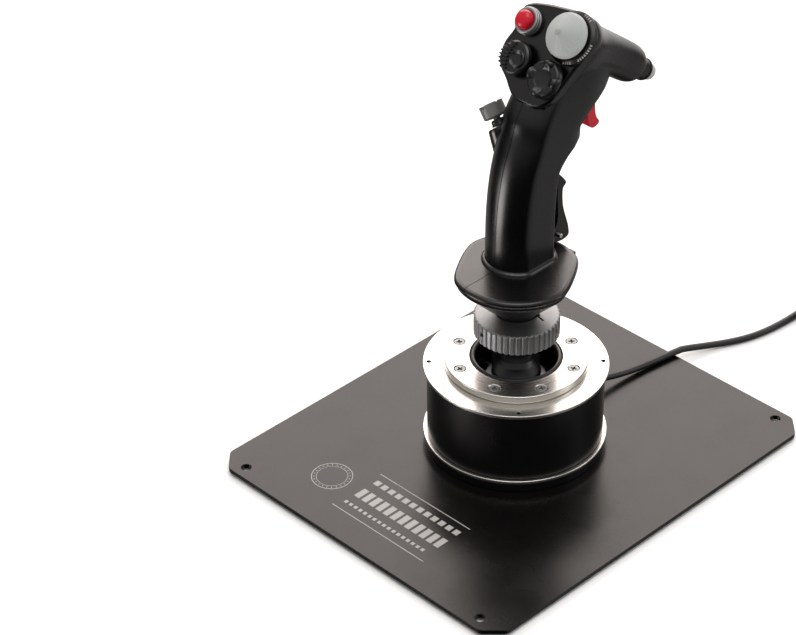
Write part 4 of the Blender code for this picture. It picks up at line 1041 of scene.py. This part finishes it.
def make_trim_hat():
    """Pale cone with fine turned steps, and a darker worn tip."""
    profile = [(0, 26.3), (1.0, 26.2), (1.6, 26.0)]
    steps, wide, tall = 15, 11.3, 7.9
    run, drop = wide / steps, tall / steps
    for k in range(steps):
        radius, height = 1.9 + run * k, 25.9 - tall * (k / steps) ** 1.12
        profile += [(radius, height), (radius + run * 0.72, height - drop * 0.45),
                    (radius + run * 0.80, height - drop * 0.95)]
    profile += [(13.7, 17.3), (14.0, 16.2), (14.0, 14.8), (13.2, 13.8), (4.6, 13.0), (2.3, 12.4),
                *HAT_STEM_FOOT]
    at = head_point(*TRIM_AT, HAT_PIVOT_DEPTH)
    hat = lathe("pale_cone", profile, at, FACE_TURN, 96, soft=0.08, sharp=60)
    put(hat, "trim_hat", "grey_plastic", "trim_hat")
    tip = lathe("pale_cone_tip", [(0, 26.6), (0.9, 26.5), (1.7, 26.15), (2.2, 25.75),
                                  (1.9, 25.6), (0, 25.9)], at, FACE_TURN, 64, soft=0.1)
    put(tip, "trim_hat", "pale_tip")


def make_left_hat():
    """Black cap with ribs on one side and a round dish on the other."""
    at = head_point(*LEFT_AT, HAT_PIVOT_DEPTH)
    cap = lathe("ribbed_hat", [(0, 15.6), (7.4, 15.5), (9.4, 15.2), (10.6, 14.2), (10.8, 13.0),
                               (10.8, 11.8), (9.8, 11.0), (2.3, 10.6), *HAT_STEM_FOOT],
                at, FACE_TURN, 96, soft=0.4)
    parts = [cap]
    ribs = 8
    for k in range(ribs):
        y = -8.0 + 16.0 * k / (ribs - 1)
        reach = math.sqrt(9.9 ** 2 - y * y)
        inner = -1.0 - 2.2 * math.cos(math.pi * y / 18)
        rib = box("rib", (-reach, y - 0.62, 15.0), (inner, y + 0.62, 17.0), FACE_TURN, at)
        parts.append(rounded(rib, 0.45, 2))
    dish_at = at + FACE_TURN @ Vector((3.4, -0.4, 0))
    parts.append(lathe("dish", [(5.6, 15.2), (5.6, 16.4), (4.9, 17.0), (4.2, 16.4),
                                (3.2, 15.9), (0, 15.7), (0, 15.2)][::-1],
                       dish_at, FACE_TURN, 56, soft=0.2))
    put(merged("ribbed_hat", parts), "left_hat", "black_plastic", "left_hat")


def make_lower_hat():
    """Black cap with a hollow middle and four raised lips."""
    at = head_point(*LOWER_AT, HAT_PIVOT_DEPTH)

    def wave(a, radius, height):
        if height < 13.0 or radius < 6.4:
            return radius, height
        lobe = max(0.0, math.cos(4 * a)) ** 0.6
        near = min(1.0, (radius - 6.4) / 2.2)
        return radius, height - 2.3 * near * (1 - lobe)
    hat = lathe("lipped_hat", [(0, 14.9), (3.5, 15.0), (5.6, 15.4), (7.0, 16.4), (8.4, 17.8),
                               (9.6, 18.1), (10.8, 17.6), (11.6, 16.4), (12.1, 14.6),
                               (12.0, 12.6), (11.0, 11.3), (2.3, 10.8), *HAT_STEM_FOOT],
                at, FACE_TURN, 128, soft=0.3, wave=wave)
    put(hat, "lower_hat", "black_plastic", "lower_hat")


def make_side_hat():
    """Slate block with a cross channel, fine teeth on its crown, and a black stem."""
    turn, h = SIDE_TURN, SIDE_HAT_DROP
    hat = lathe("castle_hat", [(0, h + 3.4), (4.4, h + 3.4), (4.8, h + 4.3), (7.7, h + 4.3),
                               (7.7, h - 4.0), (7.0, h - 4.5), (2.3, h - 5), *HAT_STEM_FOOT],
                SIDE_PIVOT, turn, 96, soft=0.3)
    cutters = [box("notch", (-15, -1.7, h + 2.4), (15, 1.7, h + 8), turn, SIDE_PIVOT),
               box("notch", (-1.7, -15, h + 2.4), (1.7, 15, h + 8), turn, SIDE_PIVOT)]
    for k in range(36):
        cutters.append(box("tooth", (5.6, -0.22, h + 3.9), (12, 0.22, h + 8),
                           spun(turn, 10 * k + 5), SIDE_PIVOT))
    carve(hat, *cutters)
    put(hat, "side_hat", "dark_grey_plastic", "side_hat")
    boot = lathe("side_hat_boot", [(3.6, h - 6.0), (4.0, h - 6.3), (4.6, h - 7.6), (4.3, h - 8.4),
                                   (4.9, h - 9.2), (4.9, h - 9.9), (3.6, h - 9.9)],
                 SIDE_PIVOT, turn, 56, closed=True, soft=0.4)
    put(boot, "side_rocker", "black_plastic")


def dress_the_rest():
    """Give every CAD node that still shows its finish."""
    for name, obj in frame["nodes"].items():
        paint(obj, SLOT_OF[name])


make_camera()
FINISHES = make_finishes()
make_cable()
make_studio()
dress_the_rest()
make_plate()
make_can()
make_cover()
make_bell()
make_nut()
make_grip()
make_fittings()
make_levers()
make_buttons()
make_trim_hat()
make_left_hat()
make_lower_hat()
make_side_hat()

bpy.context.view_layer.update()
